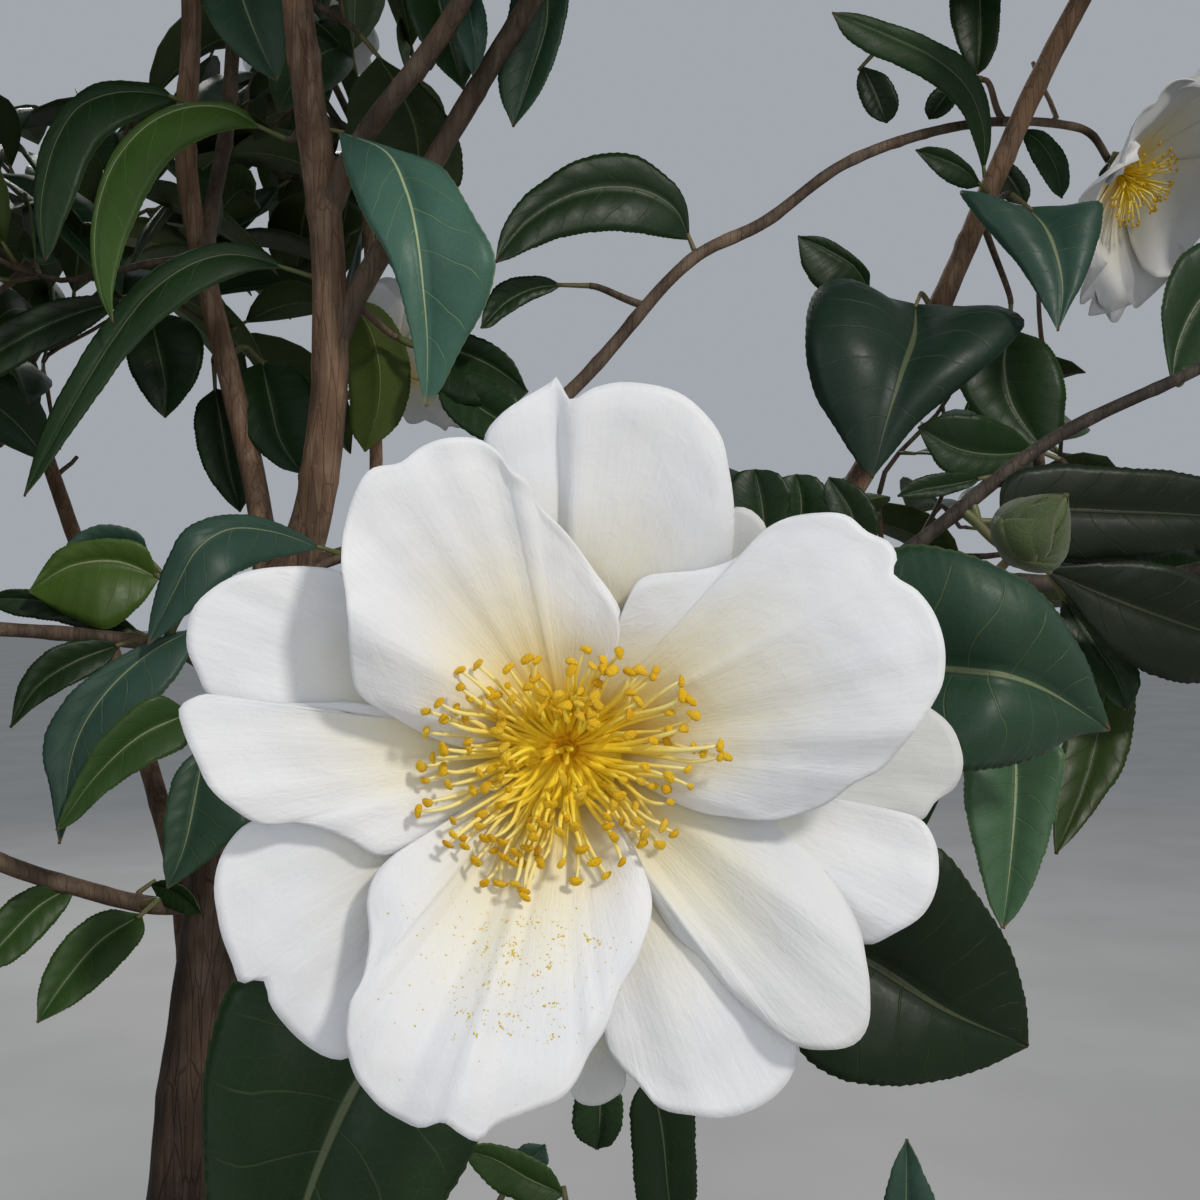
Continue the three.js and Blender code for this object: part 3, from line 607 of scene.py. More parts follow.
# ------------------------------------------------ trunk, stems and boughs
# the same routes and radii as the frame's limbs, in millimetres
LIMBS = {
    "trunk": ([[-3, 1, 258.3], [0, 1, 310], [8, 0, 372], [15.6, 0, 430], [24, -1, 500], [33.8, -3, 563], [46.7, -4, 618.4]], (12.5, 8.8)),
    "main_stem": ([[45.8, -4, 614], [56.7, -5, 640], [63.5, -5, 680], [63, -5, 735], [56.7, -5, 784], [48, 0, 870], [58, 12, 1000], [70, 15, 1180]], (6.5, 2.3)),
    "left_stem": ([[43, -3, 606], [39, 15, 637], [29, 30, 674], [16.7, 30, 724.5], [9, 30, 767], [10.6, 30, 823], [-4, 36, 920], [-32, 34, 1090]], (4.5, 2.0)),
    "left_inner_bough": ([[14.7, 30, 738.4], [19.9, 40, 781], [21, 55, 833], [38, 100, 930], [70, 150, 1030]], (2.8, 1.8)),
    "upper_front_bough": ([[62.6, -5, 743], [75, -8, 764], [106.6, -12, 806], [138, -40, 870], [150, -85, 950]], (3.6, 2.4)),
    "upper_right_bough": ([[63.5, -5, 700], [85.5, 0, 741], [101.8, 2, 770], [127, 8, 814], [170, 25, 890], [228, 48, 1010]], (3.8, 2.6)),
    "right_bough": ([[28, -2, 528], [56, -10, 553], [103, -15, 565], [149, -10, 586], [197, 5, 617], [234, 25, 658], [267, 40, 723], [304, 50, 804], [352, 60, 890]], (5.2, 3.3)),
    "slender_bough": ([[52, -4.5, 629], [86.6, -8, 642], [140, -10, 685], [178, 0, 728], [202, 8, 742], [230, 20, 764.5], [278.7, 52, 788], [318.5, 77, 796.5], [335, 88, 796], [342.2, 89.6, 786.5]], (2.5, 1.5)),
    "front_bough": ([[103, -15, 565], [127, -60, 572], [139.6, -120, 581], [142.2, -180, 591], [143.3, -223, 596.4]], (3.3, 2.4)),
    "front_right_bough": ([[141.6, -160, 587.6], [186, -165, 612], [215, -160, 632], [245, -152, 654], [279, -140, 670], [318, -124, 688]], (1.9, 1.2)),
    "left_inner_low_bough": ([[39, -3.5, 586], [23, -20, 604], [0.6, -30, 609], [-28, -45, 612]], (2.7, 2.0)),
    "front_left_bough": ([[27, -2, 524], [12.3, -20, 527.4], [-5.4, -30, 534.5], [-25, -40, 544], [-66, -84, 580], [-108, -150, 650]], (2.8, 2.0)),
    "left_bough": ([[8, 0, 372], [-32, 8, 398], [-82, 12, 455], [-138, 14, 565], [-205, 10, 700]], (4.4, 2.8)),
    "left_low_bough": ([[-60, 10.5, 428], [-92, -14, 452], [-150, -60, 512]], (2.6, 2.1)),
    "upper_left_bough": ([[-1, 35, 900], [-30, 32, 930], [-70, 26, 950], [-118, 22, 956]], (2.2, 1.7)),
    "rear_left_bough": ([[20, -0.5, 470], [4, 40, 520], [-40, 92, 610], [-112, 165, 745]], (4.0, 2.6)),
    "rear_bough": ([[16, 0, 436], [24, 44, 470], [40, 104, 520], [50, 172, 640], [40, 215, 830]], (3.9, 2.5)),
    "rear_low_bough": ([[33, 80, 498], [62, 108, 506], [104, 156, 536], [120, 176, 552]], (2.6, 2.0)),
    "rear_right_bough": ([[13, 0, 412], [60, 30, 436], [130, 78, 486], [210, 124, 560], [262, 146, 620]], (3.8, 2.5)),
    "right_low_bough": ([[5, 0.5, 348], [46, -4, 366], [110, -8, 384], [196, -6, 392]], (3.2, 2.2)),
    "right_outer_bough": ([[190, 2.8, 612.3], [226, 6, 621], [262, 12, 627], [300, 16, 626], [340, 18, 629], [376, 15, 640]], (2.8, 2.0)),
    "front_low_bough": ([[6, 0.3, 356], [26, -36, 378], [62, -78, 404], [96, -116, 430]], (2.9, 2.1)),
}
# boughs and the masses that they run into
INTO = {
    "main_stem": "foliage_crown_top", "left_stem": "foliage_top_left", "left_inner_bough": "foliage_top_rear",
    "upper_front_bough": "foliage_top_front", "upper_right_bough": "foliage_top_right", "right_bough": "foliage_right_upper",
    "left_inner_low_bough": "foliage_left_inner", "front_left_bough": "foliage_front_left", "left_bough": "foliage_left",
    "left_low_bough": "foliage_left_low", "upper_left_bough": "foliage_upper_left", "rear_left_bough": "foliage_rear_left",
    "rear_bough": "foliage_rear_upper", "rear_low_bough": "foliage_rear_low", "rear_right_bough": "foliage_rear_right",
    "right_low_bough": "foliage_right_low", "right_outer_bough": "foliage_right", "front_low_bough": "foliage_front_low",
}
FINE_LIMBS = ("trunk", "main_stem", "left_stem", "right_bough", "slender_bough", "upper_front_bough", "upper_right_bough",
              "front_right_bough", "front_left_bough", "left_inner_low_bough", "front_bough", "left_inner_bough")

anchors, anchor_dirs, anchor_radii, anchor_names = [], [], [], []
limb_ends = {}


def remember(path, radius, name):
    tan = unit(np.gradient(path, axis=0))
    for p, t, r in zip(path, tan, np.broadcast_to(radius, (len(path),))):
        anchors.append(p)
        anchor_dirs.append(t)
        anchor_radii.append(r)
        anchor_names.append(name)


def limb(name, points, radii, material, slot, seed):
    node_lo, node_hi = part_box(name)
    pts = np.array(points) / 1000.0
    length = np.linalg.norm(np.diff(pts, axis=0), axis=1).sum()
    fine = name in FINE_LIMBS
    n = max(12, int(length / (0.0022 if fine else 0.004)))
    path = spline(pts, n)
    t = np.linspace(0, 1, n)
    radius = (radii[0] + (radii[1] - radii[0]) * t ** 0.85) / 1000
    run = t * length
    sides = 36 if name == "trunk" else (24 if fine else 16)
    ang = np.arange(sides) / sides * 2 * math.pi
    rnd = np.random.RandomState(seed)
    # slight bends at the nodes, where leaves once stood
    gap = 0.021 if radii[0] < 3 else 0.034
    shape = np.zeros((n, sides))
    k = 0.012
    while k < length - 0.01 and name != "trunk":
        bump = np.exp(-((run - k) / 0.0022) ** 2)
        ring = 0.12 * rnd.uniform(0.4, 1.3) * radius * bump
        toward = rnd.uniform(0, 2 * math.pi)
        lop = 0.5 + 0.5 * np.cos(ang - toward)
        shape += ring[:, None] * (0.35 + 0.9 * lop ** 2)[None, :]
        k += gap * rnd.uniform(0.6, 1.5)
    if name != "trunk":   # collar at the fork
        shape += (radius * 0.45 * np.exp(-(run / (radii[0] / 1000 * 2.6)) ** 2))[:, None]
    else:
        spread = np.maximum(0, 1 - run / 0.034) ** 2
        shape += 0.0085 * spread[:, None] * (0.62 + 0.38 * np.cos(5 * ang + 0.6))[None, :]
        for k, a, size in ((0.07, 1.0, 0.0016), (0.128, 4.2, 0.0013), (0.205, 2.6, 0.0015), (0.262, 5.3, 0.0017), (0.31, 3.4, 0.0014)):
            lop = np.clip(np.cos(ang - a), 0, 1) ** 3
            shape += size * np.exp(-((run - k) / 0.006) ** 2)[:, None] * lop[None, :]
    v, q, rings = tube(path, radius, sides, shape=shape)
    long = clumps(rings * np.array((1, 1, 0.16)), 420 if name != "trunk" else 260, seed)
    broad = clumps(rings * np.array((1, 1, 0.5)), 95, seed + 7.3)
    relief = long * (0.035 if name != "trunk" else 0.055) + broad * 0.075
    centre = path[:, None, :]
    moved = rings + (rings - centre) * relief[..., None]
    moved = moved.reshape(-1, 3)
    if name == "trunk":
        low = moved[:, 2] < 0.2583
        moved[low, 2] = 0.2583
        v[-2][2] = 0.2583
    v = np.vstack([moved, v[len(moved):]])
    light = np.clip(0.5 + 0.28 * broad + 0.12 * long, 0.15, 0.95).reshape(-1)
    tint = np.zeros((len(v), 3))
    tint[:, 0] = 0.5
    tint[: len(light), 0] = light
    soup = Soup()
    soup.add(v, q, tint=tint)
    piece = soup.build(name + "_bark", [material], slot, replaces=[name])
    remember(path, radius, name)
    limb_ends[name] = (path[-1], unit(path[-1] - path[-6]))
    return piece


# boughs stop just inside their mass, as in the frame
mass_trees = {}
for node_name, node in frame["nodes"].items():
    if node_name.startswith("foliage_"):
        mesh = node.data
        mass_trees[node_name] = BVHTree.FromPolygons([v.co.copy() for v in mesh.vertices], [tuple(p.vertices) for p in mesh.polygons])


def inside(name, p):
    hit = mass_trees[name].find_nearest(Vector(p))
    if hit[0] is None:
        return False, 1.0
    return (Vector(p) - hit[0]).dot(hit[1]) < 0, hit[3]


for index, (name, (points, radii)) in enumerate(LIMBS.items()):
    if name == "trunk":
        limb(name, points, radii, BARK_TRUNK, "trunk_bark", 3)
    elif radii[0] >= 3.9:
        limb(name, points, radii, BARK_STEM, "stem_bark", 10 + index)
    # these two boughs lie in shadow and get the darker bark as painted shade
    elif name in ("front_right_bough", "right_outer_bough"):
        limb(name, points, radii, BARK_PAINTED_SHADE_TWIG, "twig_bark", 10 + index)
    else:
        limb(name, points, radii, BARK_TWIG, "twig_bark", 10 + index)

# --------------------------------------------------------------------- tub
TUB = dict(foot=0.134, mouth=0.168, rim=0.177, height=0.285, depth=0.017, wall=0.0036)


def tub_radius(z):
    return TUB["foot"] + (TUB["mouth"] - TUB["foot"]) * (z / TUB["height"]) ** 0.92


def build_tub():
    h, d, w = TUB["height"], TUB["depth"], TUB["wall"]
    prof = [(0.0006, 0.0), (0.05, 0.0), (0.112, 0.0), (0.1285, 0.0), (0.1325, 0.0012), (0.134, 0.0042)]
    for z in np.linspace(0.01, h - d - 0.012, 44):
        r = tub_radius(z)
        for ring_z in (0.095, 0.200):
            r += 0.0011 * math.exp(-((z - ring_z) / 0.0035) ** 4)
        prof.append((r, z))
    r = tub_radius(h - d)
    prof += [(r, h - d - 0.006), (r + 0.0012, h - d - 0.0022), (r + 0.004, h - d), (0.1745, h - d + 0.0002), (0.1765, h - d + 0.0014),
             (0.177, h - d + 0.004), (0.177, h - 0.0065), (0.1762, h - 0.003), (0.1742, h - 0.0008), (0.1715, h - 0.0001),
             (0.1690, h - 0.0006), (0.1672, h - 0.0022), (0.1662, h - 0.005)]
    for z in np.linspace(h - 0.012, 0.02, 12):
        prof.append((tub_radius(z) - w, z))
    prof += [(tub_radius(0.01) - w, 0.008), (0.124, 0.0046), (0.06, 0.0045), (0.0006, 0.0045)]
    prof = np.array(prof)
    sides = 168
    ang = np.arange(sides) / sides * 2 * math.pi
    r = np.repeat(prof[:, :1], sides, 1)
    z = np.repeat(prof[:, 1:], sides, 1)
    # drain arches round the foot, pressed into the outside wall
    outer = np.arange(len(prof)) < 22
    arch = np.clip(1.25 - np.abs(((ang * 8 / (2 * math.pi)) % 1.0) - 0.5) * 9.0, 0, 1)
    for i in np.nonzero(outer & (prof[:, 1] > 0.006) & (prof[:, 1] < 0.03))[0]:
        tall = np.clip((0.026 * np.sqrt(arch) - prof[i, 1]) / 0.003, 0, 1)
        r[i] -= 0.0021 * tall
    r += 0.00035 * np.sin(3 * ang + 0.7)[None, :] * smooth(0.05, 0.2, z)
    pts = np.stack([r * np.cos(ang), r * np.sin(ang), z], axis=-1)
    v = pts.reshape(-1, 3)
    q = grid_quads(len(prof), sides, 0, wrap=True)
    a, b = len(v), len(v) + 1
    v = np.vstack([v, (0, 0, 0), (0, 0, 0.0045)])
    low = [(a, (j + 1) % sides, j, -1) for j in range(sides)]
    k = (len(prof) - 1) * sides
    top = [(b, k + j, k + (j + 1) % sides, -1) for j in range(sides)]
    soup = Soup()
    soup.add(v, np.vstack([q, low, top]))
    soup.build("tub_shell", [tub_material()], "tub_plastic", replaces=["tub"])


build_tub()


def build_mix():
    sides, rings = 120, 46
    ang = np.arange(sides) / sides * 2 * math.pi
    edge = tub_radius(0.257) - TUB["wall"] - 0.0012
    rr = np.linspace(0, 1, rings) ** 0.9 * edge
    rr[0] = 0.0004
    pts = np.zeros((rings, sides, 3))
    pts[..., 0] = rr[:, None] * np.cos(ang)
    pts[..., 1] = rr[:, None] * np.sin(ang)
    pts[..., 2] = 0.2555
    bump = clumps(pts, 26, 4.0) * 0.0035 + clumps(pts, 110, 9.0) * 0.0016
    near = np.hypot(pts[..., 0] + 0.003, pts[..., 1] - 0.001)
    pts[..., 2] += bump + 0.0035 * np.exp(-(near / 0.03) ** 2) - 0.002 * smooth(0.8, 1.0, rr / edge)[:, None]
    low = pts.copy()
    low[..., 2] = 0.24
    low[..., :2] *= 0.985
    under = np.zeros((2, sides, 3))
    under[0, :, 0], under[0, :, 1], under[0, :, 2] = 0.1 * np.cos(ang), 0.1 * np.sin(ang), 0.012
    under[0] = np.stack([0.127 * np.cos(ang), 0.127 * np.sin(ang), np.full(sides, 0.0052)], axis=-1)
    under[1] = np.stack([0.0004 * np.cos(ang), 0.0004 * np.sin(ang), np.full(sides, 0.0052)], axis=-1)
    stack = np.concatenate([pts, low[-1:], under])
    v = stack.reshape(-1, 3)
    q = grid_quads(len(stack), sides, 0, wrap=True)
    a, b = len(v), len(v) + 1
    v = np.vstack([v, (0, 0, pts[0, :, 2].mean()), (0, 0, 0.0052)])
    top = [(a, j, (j + 1) % sides, -1) for j in range(sides)]
    k = (len(stack) - 1) * sides
    bottom = [(b, k + (j + 1) % sides, k + j, -1) for j in range(sides)]
    soup = Soup()
    soup.add(v, np.vstack([q[:, ::-1], np.array(top)[:, [0, 1, 2, 3]], np.array(bottom)]))
    soup.build("potting_mix_surface", [mix_material()], "potting_mix", replaces=["potting_mix"])
    tree = BVHTree.FromPolygons([Vector(p) for p in pts.reshape(-1, 3)], [tuple(x) for x in grid_quads(rings, sides, 0, wrap=True).tolist()])
    chips = Soup()
    rnd = random.Random(41)
    for _ in range(620):
        a, rad = rnd.uniform(0, 2 * math.pi), edge * 0.955 * math.sqrt(rnd.random())
        x, y = rad * math.cos(a), rad * math.sin(a)
        if math.hypot(x + 0.003, y - 0.001) < 0.021:
            continue
        length, width, thick = rnd.uniform(0.008, 0.026), rnd.uniform(0.004, 0.010), rnd.uniform(0.0012, 0.0032)
        if rad + length / 2 > edge:
            continue
        hit = tree.ray_cast(Vector((x, y, 0.4)), Vector((0, 0, -1)))
        z = (hit[0].z if hit[0] else 0.256) + thick * 0.5 + rnd.uniform(0, 0.0022)
        yaw, tilt, roll = rnd.uniform(0, 6.28), rnd.gauss(0, 0.16), rnd.gauss(0, 0.2)
        n = 7
        base = []
        for k in range(n):
            t = 2 * math.pi * k / n
            base.append((math.cos(t) * length / 2 * rnd.uniform(0.72, 1.08), math.sin(t) * width / 2 * rnd.uniform(0.7, 1.1)))
        rows = []
        for lift, grow in ((-0.5, 0.86), (-0.15, 1.0), (0.3, 0.97), (0.5, 0.8)):
            rows.append([(bx * grow, by * grow, lift * thick + rnd.uniform(-0.1, 0.1) * thick) for bx, by in base])
        p = np.array(rows)
        p = p.reshape(-1, 3)
        p = np.vstack([p, (0, 0, -0.5 * thick), (0, 0, 0.55 * thick)])
        cy, sy, ct, st, cr, sr = math.cos(yaw), math.sin(yaw), math.cos(tilt), math.sin(tilt), math.cos(roll), math.sin(roll)
        rot = np.array([[cy, -sy, 0], [sy, cy, 0], [0, 0, 1]]) @ np.array([[ct, 0, st], [0, 1, 0], [-st, 0, ct]]) @ np.array([[1, 0, 0], [0, cr, -sr], [0, sr, cr]])
        p = p @ rot.T + np.array((x, y, z))
        q = grid_quads(4, n, 0, wrap=True)
        lowf = [(4 * n, (j + 1) % n, j, -1) for j in range(n)]
        topf = [(4 * n + 1, 3 * n + j, 3 * n + (j + 1) % n, -1) for j in range(n)]
        chips.add(p, np.vstack([q, lowf, topf]), tint=(rnd.random(), 0, 0))
    chips.build("bark_mulch", [chip_material()], "bark_chip", flat=True)


build_mix()

# ------------------------------------------------------------------ leaves
OUTLINE_T = np.array((0, .03, .08, .16, .27, .40, .52, .64, .75, .84, .90, .945, .975, 1.0))
OUTLINE_W = np.array((.03, .16, .36, .62, .86, .985, 1.0, .92, .745, .52, .335, .19, .095, .012))


def outline(t):
    return np.interp(t, OUTLINE_T, OUTLINE_W)


def leaf_relief(t, u, half, strength):
    """Height of the blade's relief: sunken ribs and raised fields between the side veins."""
    phase = (t - 0.16 * np.abs(u) ** 1.25) * 8.5 + (0.45 if half > 0 else 0)
    near = np.abs(phase % 1.0 - 0.5)
    swell = np.cos((0.5 - near) * 2 * math.pi)
    return strength * (0.5 * swell * np.sin(math.pi * np.clip(u, 0, 1)) * np.sin(math.pi * np.clip(t, 0, 1)))


def blade(soup, mid, left, right, nrm, across, thick, tint, uvs=True, relief=0.0, teeth=0, camber=0.10, seed=0, wave=0.0):
    """One leaf as a closed shell, from its midrib and its two margins."""
    n = len(mid)
    t = np.linspace(0, 1, n)
    cols = []
    uvc = []
    r = np.random.RandomState(seed)
    for half, edge in ((-1, left), (1, right)):
        out = edge - mid
        width = np.linalg.norm(out, axis=1)
        if teeth:
            saw = (t * teeth + 0.3 * half) % 1.0
            bite = (1 - saw) * np.minimum(1, width / 0.006) * smooth(0.06, 0.16, t) * smooth(1.0, 0.97, t)
            out = out + unit(out) * (0.00042 * bite)[:, None]
        ripple = wobble(seed * 2 + (5 if half > 0 else 9), n, 2, 5.0) * wave
        for j in range(1, across + 1):
            u = j / across
            lift = camber * width * 4 * u * (1 - u) * np.sin(math.pi * np.clip(t, 0.02, 0.98)) ** 0.5
            lift = lift + leaf_relief(t, u, half, relief) + ripple * u ** 2.5 * smooth(0, 0.15, t) * smooth(1, 0.85, t)
            rib = -relief * 0.9 * math.exp(-((u * across) / 1.0) ** 2) if relief else 0
            cols.append((half * j, mid + out * u + nrm * (lift + rib)[:, None]))
            uvc.append((half * j, np.stack([np.full(n, 0.5 + 0.5 * half * u), t], axis=1)))
    cols.append((0, mid - nrm * (relief * 1.3)))
    uvc.append((0, np.stack([np.full(n, 0.5), t], axis=1)))
    cols.sort(key=lambda c: c[0])
    uvc.sort(key=lambda c: c[0])
    g = np.stack([c[1] for c in cols], axis=1)
    uv = np.stack([c[1] for c in uvc], axis=1)
    mine = grid_normals(g)
    if (mine[n // 2, len(cols) // 2] * nrm[n // 2]).sum() < 0:
        g = g[:, ::-1]
        uv = uv[:, ::-1]
    v, f, side = shell(g, thick)
    soup.add(v, f, mat=side, uv=np.concatenate([uv.reshape(-1, 2)] * 2), tint=tint)
    return g


hero = (Soup(), Soup())
stalks = Soup()
twigs = Soup()
# The first value is each leaf's lightness. On the leaves listed below it is set leaf by leaf and paints light and
# shade: "dark" and "shade" are painted shade on leaves in shadow, "blue", "bluish" and "grey" partly paint the sky's
# reflection on the glossy leaves, and "bright" and "olive" partly paint light shining through leaves, over their own
# yellow-green.
TINT = {  # how light, how blue, how yellow; on the listed leaves these also paint light and shade, as said above
    "deep": (0.36, 0.10, 0.0), "dark": (0.26, 0.05, 0.0), "mid": (0.55, 0.10, 0.16), "blue": (0.60, 0.95, 0.0), "bluish": (0.50, 0.6, 0.0),
    "shade": (0.09, 0.0, 0.12), "bright": (0.60, 0.0, 0.40), "olive": (0.42, 0.0, 0.55), "grey": (0.62, 0.8, 0.05),
}


def to_world(points, depths):
    """Frame points [x, y] or [x, y, millimetres nearer] at depths spread from the first to the last."""
    p = [tuple(q) for q in points]
    steps = np.concatenate([[0], np.cumsum([math.dist(a[:2], b[:2]) for a, b in zip(p, p[1:])])])
    s = steps / steps[-1]
    d = np.interp(s, np.linspace(0, 1, len(depths)), depths)
    return np.array([at(q[0], q[1], dd - (q[2] / 1000 if len(q) > 2 else 0)) for q, dd in zip(p, d)])


def hero_leaf(depths, mid, left, right, fold=(0.3, 0.3), tint="deep", see="top", across=6, rows=76, camber=0.10, attach=None,
              stalk=0.009, seed=1, wave=0.0006, relief=0.00022, teeth=34):
    """A leaf from its midrib and margins as they are seen. fold lifts each margin towards its upper side."""
    m3 = to_world(mid, depths)
    mm = spline(m3, rows, 0.003)
    sign = 1 if see == "top" else -1
    edges = []
    for side, lift in ((left, fold[0]), (right, fold[1])):
        pts = [mid[0], *side, mid[-1]]
        e3 = to_world(pts, depths)
        inner = np.array([mm[np.argmin(np.linalg.norm((mm - e)[:, [0, 2]], axis=1))] for e in e3])
        half = np.linalg.norm((e3 - inner)[:, [0, 2]], axis=1)
        e3[:, 1] -= sign * lift * half
        k = (e3[:, 1] - EYE[1]) / (to_world(pts, depths)[:, 1] - EYE[1])
        flat = to_world(pts, depths)
        e3[:, 0] = EYE[0] + (flat[:, 0] - EYE[0]) * k
        e3[:, 2] = EYE[2] + (flat[:, 2] - EYE[2]) * k
        edges.append(spline(e3, rows, 0.003))
    tan = unit(np.gradient(mm, axis=0))
    nrm = unit(np.cross(tan, edges[1] - edges[0]))
    look = unit(EYE - mm)
    if (nrm[rows // 2] * look[rows // 2]).sum() * sign < 0:
        nrm = -nrm
    for i in range(1, rows):
        if nrm[i].dot(nrm[i - 1]) < 0:
            nrm[i] = -nrm[i]
    w = np.hanning(15)
    nrm = unit(np.stack([np.convolve(np.pad(nrm[:, k], 7, mode="edge"), w / w.sum(), mode="valid") for k in range(3)], axis=1))
    colour = TINT[tint] if isinstance(tint, str) else tint
    blade(hero[seed % 2], mm, edges[0], edges[1], nrm, across, 0.00042, colour, relief=relief, teeth=teeth, camber=camber, seed=seed, wave=wave)
    add_stalk(mm[0], -tan[2], attach, stalk)


def add_stalk(base, back, attach, length=0.009, r=0.0009):
    """A leaf's stalk, and the twig that carries it from the nearest limb if that is further off."""
    base = np.asarray(base)
    if attach is not None:
        end = np.asarray(attach)
        far = np.linalg.norm(end - base)
        out = unit(base - end)
    else:
        pts = np.array(anchors)
        gap = np.linalg.norm(pts - base, axis=1)
        ahead = (unit(pts - base) * back).sum(axis=1)
        cost = gap * (1.35 - 0.55 * ahead)
        i = int(np.argmin(cost))
        end, far = pts[i], gap[i]
        out = unit(base - end)
    turn = 0.3 + 1.1 * (1 - float(np.dot(-out, unit(back)))) / 2
    joint = base + unit(unit(back) - turn * out) * min(length, far * 0.5)
    c = bezier(joint, joint + (joint - base) * 0.5, end + out * far * 0.3, end, 14)
    path = np.vstack([bezier(base + unit(base - joint) * 0.002, base * 0.6 + joint * 0.4, base * 0.3 + joint * 0.7, joint, 6)[:-1], c])
    if far > 0.022:
        stalks.add(*tube(path[:7], np.linspace(r * 0.75, r * 1.1, 7), 8)[:2])
        rad = np.linspace(r * 1.15, r * 1.5, len(c))
        twigs.add(*tube(c, rad, 9)[:2], tint=(0.55, 0, 0))
        remember(c, rad, "twig")
    else:
        stalks.add(*tube(path, np.linspace(r * 0.75, r * 1.35, len(path)), 8)[:2])


HERO_LEAVES = []   # filled below


def H(*a, **k):
    HERO_LEAVES.append((a, k))


# upper left
H((.475, .462, .452), [(175, 98), (150, 92), (115, 92), (80, 105), (58, 135), (45, 175), (40, 215), (45, 262)],
  [(160, 86), (121, 80), (93, 85), (65, 107), (46, 137), (35, 175), (34, 215), (40, 245)],
  [(150, 112), (125, 124), (100, 142), (85, 168), (75, 195), (62, 225), (52, 250)], fold=(-.5, .3), tint="deep", seed=2)
H((.47, .455, .44), [(262, 128), (228, 108), (190, 106), (150, 122), (115, 160), (98, 205), (94, 250), (100, 290), (113, 324)],
  [(235, 104), (200, 101), (160, 109), (122, 140), (102, 175), (92, 215), (90, 255), (97, 292)],
  [(240, 128), (210, 134), (180, 151), (155, 180), (138, 212), (122, 250), (112, 290)], fold=(-.4, .35), tint=(0.72, 0.0, 0.24), seed=3)
H((.462, .45, .435), [(285, 268), (255, 257), (225, 254), (190, 264), (150, 292), (115, 336), (80, 392), (50, 446), (23, 497)],
  [(260, 248), (228, 243), (195, 248), (165, 262), (139, 281), (108, 318), (72, 374), (42, 432)],
  [(255, 270), (225, 279), (195, 295), (160, 322), (132, 350), (103, 388), (68, 436), (42, 474)], fold=(-.3, .4), tint="deep", seed=4)
H((.50, .49, .48), [(125, 300), (80, 312), (40, 328), (0, 350), (-45, 375)], [(100, 296), (60, 299), (20, 313), (-20, 338)],
  [(110, 312), (75, 336), (35, 356), (0, 376), (-30, 386)], tint="dark", seed=5)
H((.51, .50, .50), [(150, 312), (158, 350), (165, 385), (165, 418)], [(130, 332), (127, 360), (142, 392), (157, 411)],
  [(190, 322), (203, 345), (198, 376), (180, 403)], tint="dark", seed=6)
H((.51, .505, .50), [(215, 388), (222, 430), (228, 465), (240, 512)], [(198, 405), (196, 440), (208, 475), (228, 502)],
  [(240, 396), (253, 430), (253, 470), (248, 497)], tint="dark", seed=7)
H((.50, .49, .485), [(262, 362), (270, 400), (280, 440), (302, 474)], [(240, 374), (237, 405), (250, 440), (280, 467)],
  [(290, 366), (313, 390), (316, 430), (311, 460)], tint="deep", seed=8)
H((.475, .48, .485), [(350, 298), (370, 330), (380, 370), (378, 410), (365, 452)], [(340, 312), (345, 350), (350, 395), (352, 430)],
  [(380, 308), (405, 345), (410, 385), (397, 425)], tint="olive", see="under", seed=9)
# painted reflection: this leaf's light and blue values (1.25, 1.0) paint the sky's bluish reflection on it
H((.452, .425, .430), [(338, 131), (386, 151), (406, 190), (416, 233), (422, 284), (427, 345), (426, 408)],
  [(347, 172), (364, 215), (388, 255), (402, 297), (414, 348), (421, 388)],
  [(393, 148), (440, 166), (471, 212), (494, 258), (488, 297), (459, 352), (436, 396)], fold=(.22, .3), tint=(1.25, 1.0, 0.0), seed=10, camber=.14)
H((.48, .482, .485), [(378, 56), (400, 90), (415, 125), (420, 165), (425, 205)], [(352, 88), (348, 130), (360, 165), (385, 198)],
  [(420, 85), (446, 115), (461, 150), (458, 187)], tint="dark", see="under", seed=11)
H((.50, .49, .485), [(232, -60), (240, -10), (258, 40), (277, 81)], [(203, -35), (203, 0), (222, 38), (255, 68)],
  [(272, -45), (285, 0), (286, 40), (282, 66)], tint="grey", seed=12)
H((.462, .452, .44), [(690, 240), (676, 210), (646, 191), (605, 187), (565, 197), (530, 219), (508, 243), (495, 263)],
  [(686, 203), (668, 177), (630, 154), (585, 158), (548, 178), (520, 201), (501, 233)],
  [(675, 239), (640, 233), (600, 231), (560, 237), (530, 249), (510, 258)], fold=(.1, .3), tint="dark", seed=13)
H((.465, .46, .455), [(562, 285), (535, 288), (508, 301), (481, 328)], [(545, 277), (520, 277), (497, 286), (484, 310)],
  [(555, 290), (530, 301), (505, 316), (490, 327)], tint="dark", seed=14, rows=50, teeth=22)
H((.475, .47, .465), [(425, 345), (455, 350), (490, 365), (528, 392)], [(440, 328), (475, 336), (510, 358)],
  [(420, 378), (450, 399), (490, 405), (518, 400)], tint="dark", seed=15, rows=50)
H((.47, .465, .462), [(445, 372), (470, 400), (500, 420), (535, 430)], [(470, 372), (500, 385), (525, 408)],
  [(440, 400), (465, 430), (505, 445)], tint="deep", seed=16, rows=50)
H((.47, .465, .46), [(430, -50), (440, 5), (452, 50), (463, 89)], [(405, -25), (410, 15), (432, 58)], [(468, -35), (482, 5), (478, 55)], tint="deep", seed=17)
H((.455, .45, .45), [(463, -30), (471, 20), (476, 50), (473, 75)], [(457, 0), (458, 35), (466, 62)], [(480, -5), (487, 30), (482, 60)],
  tint="blue", seed=18, rows=44, teeth=18)
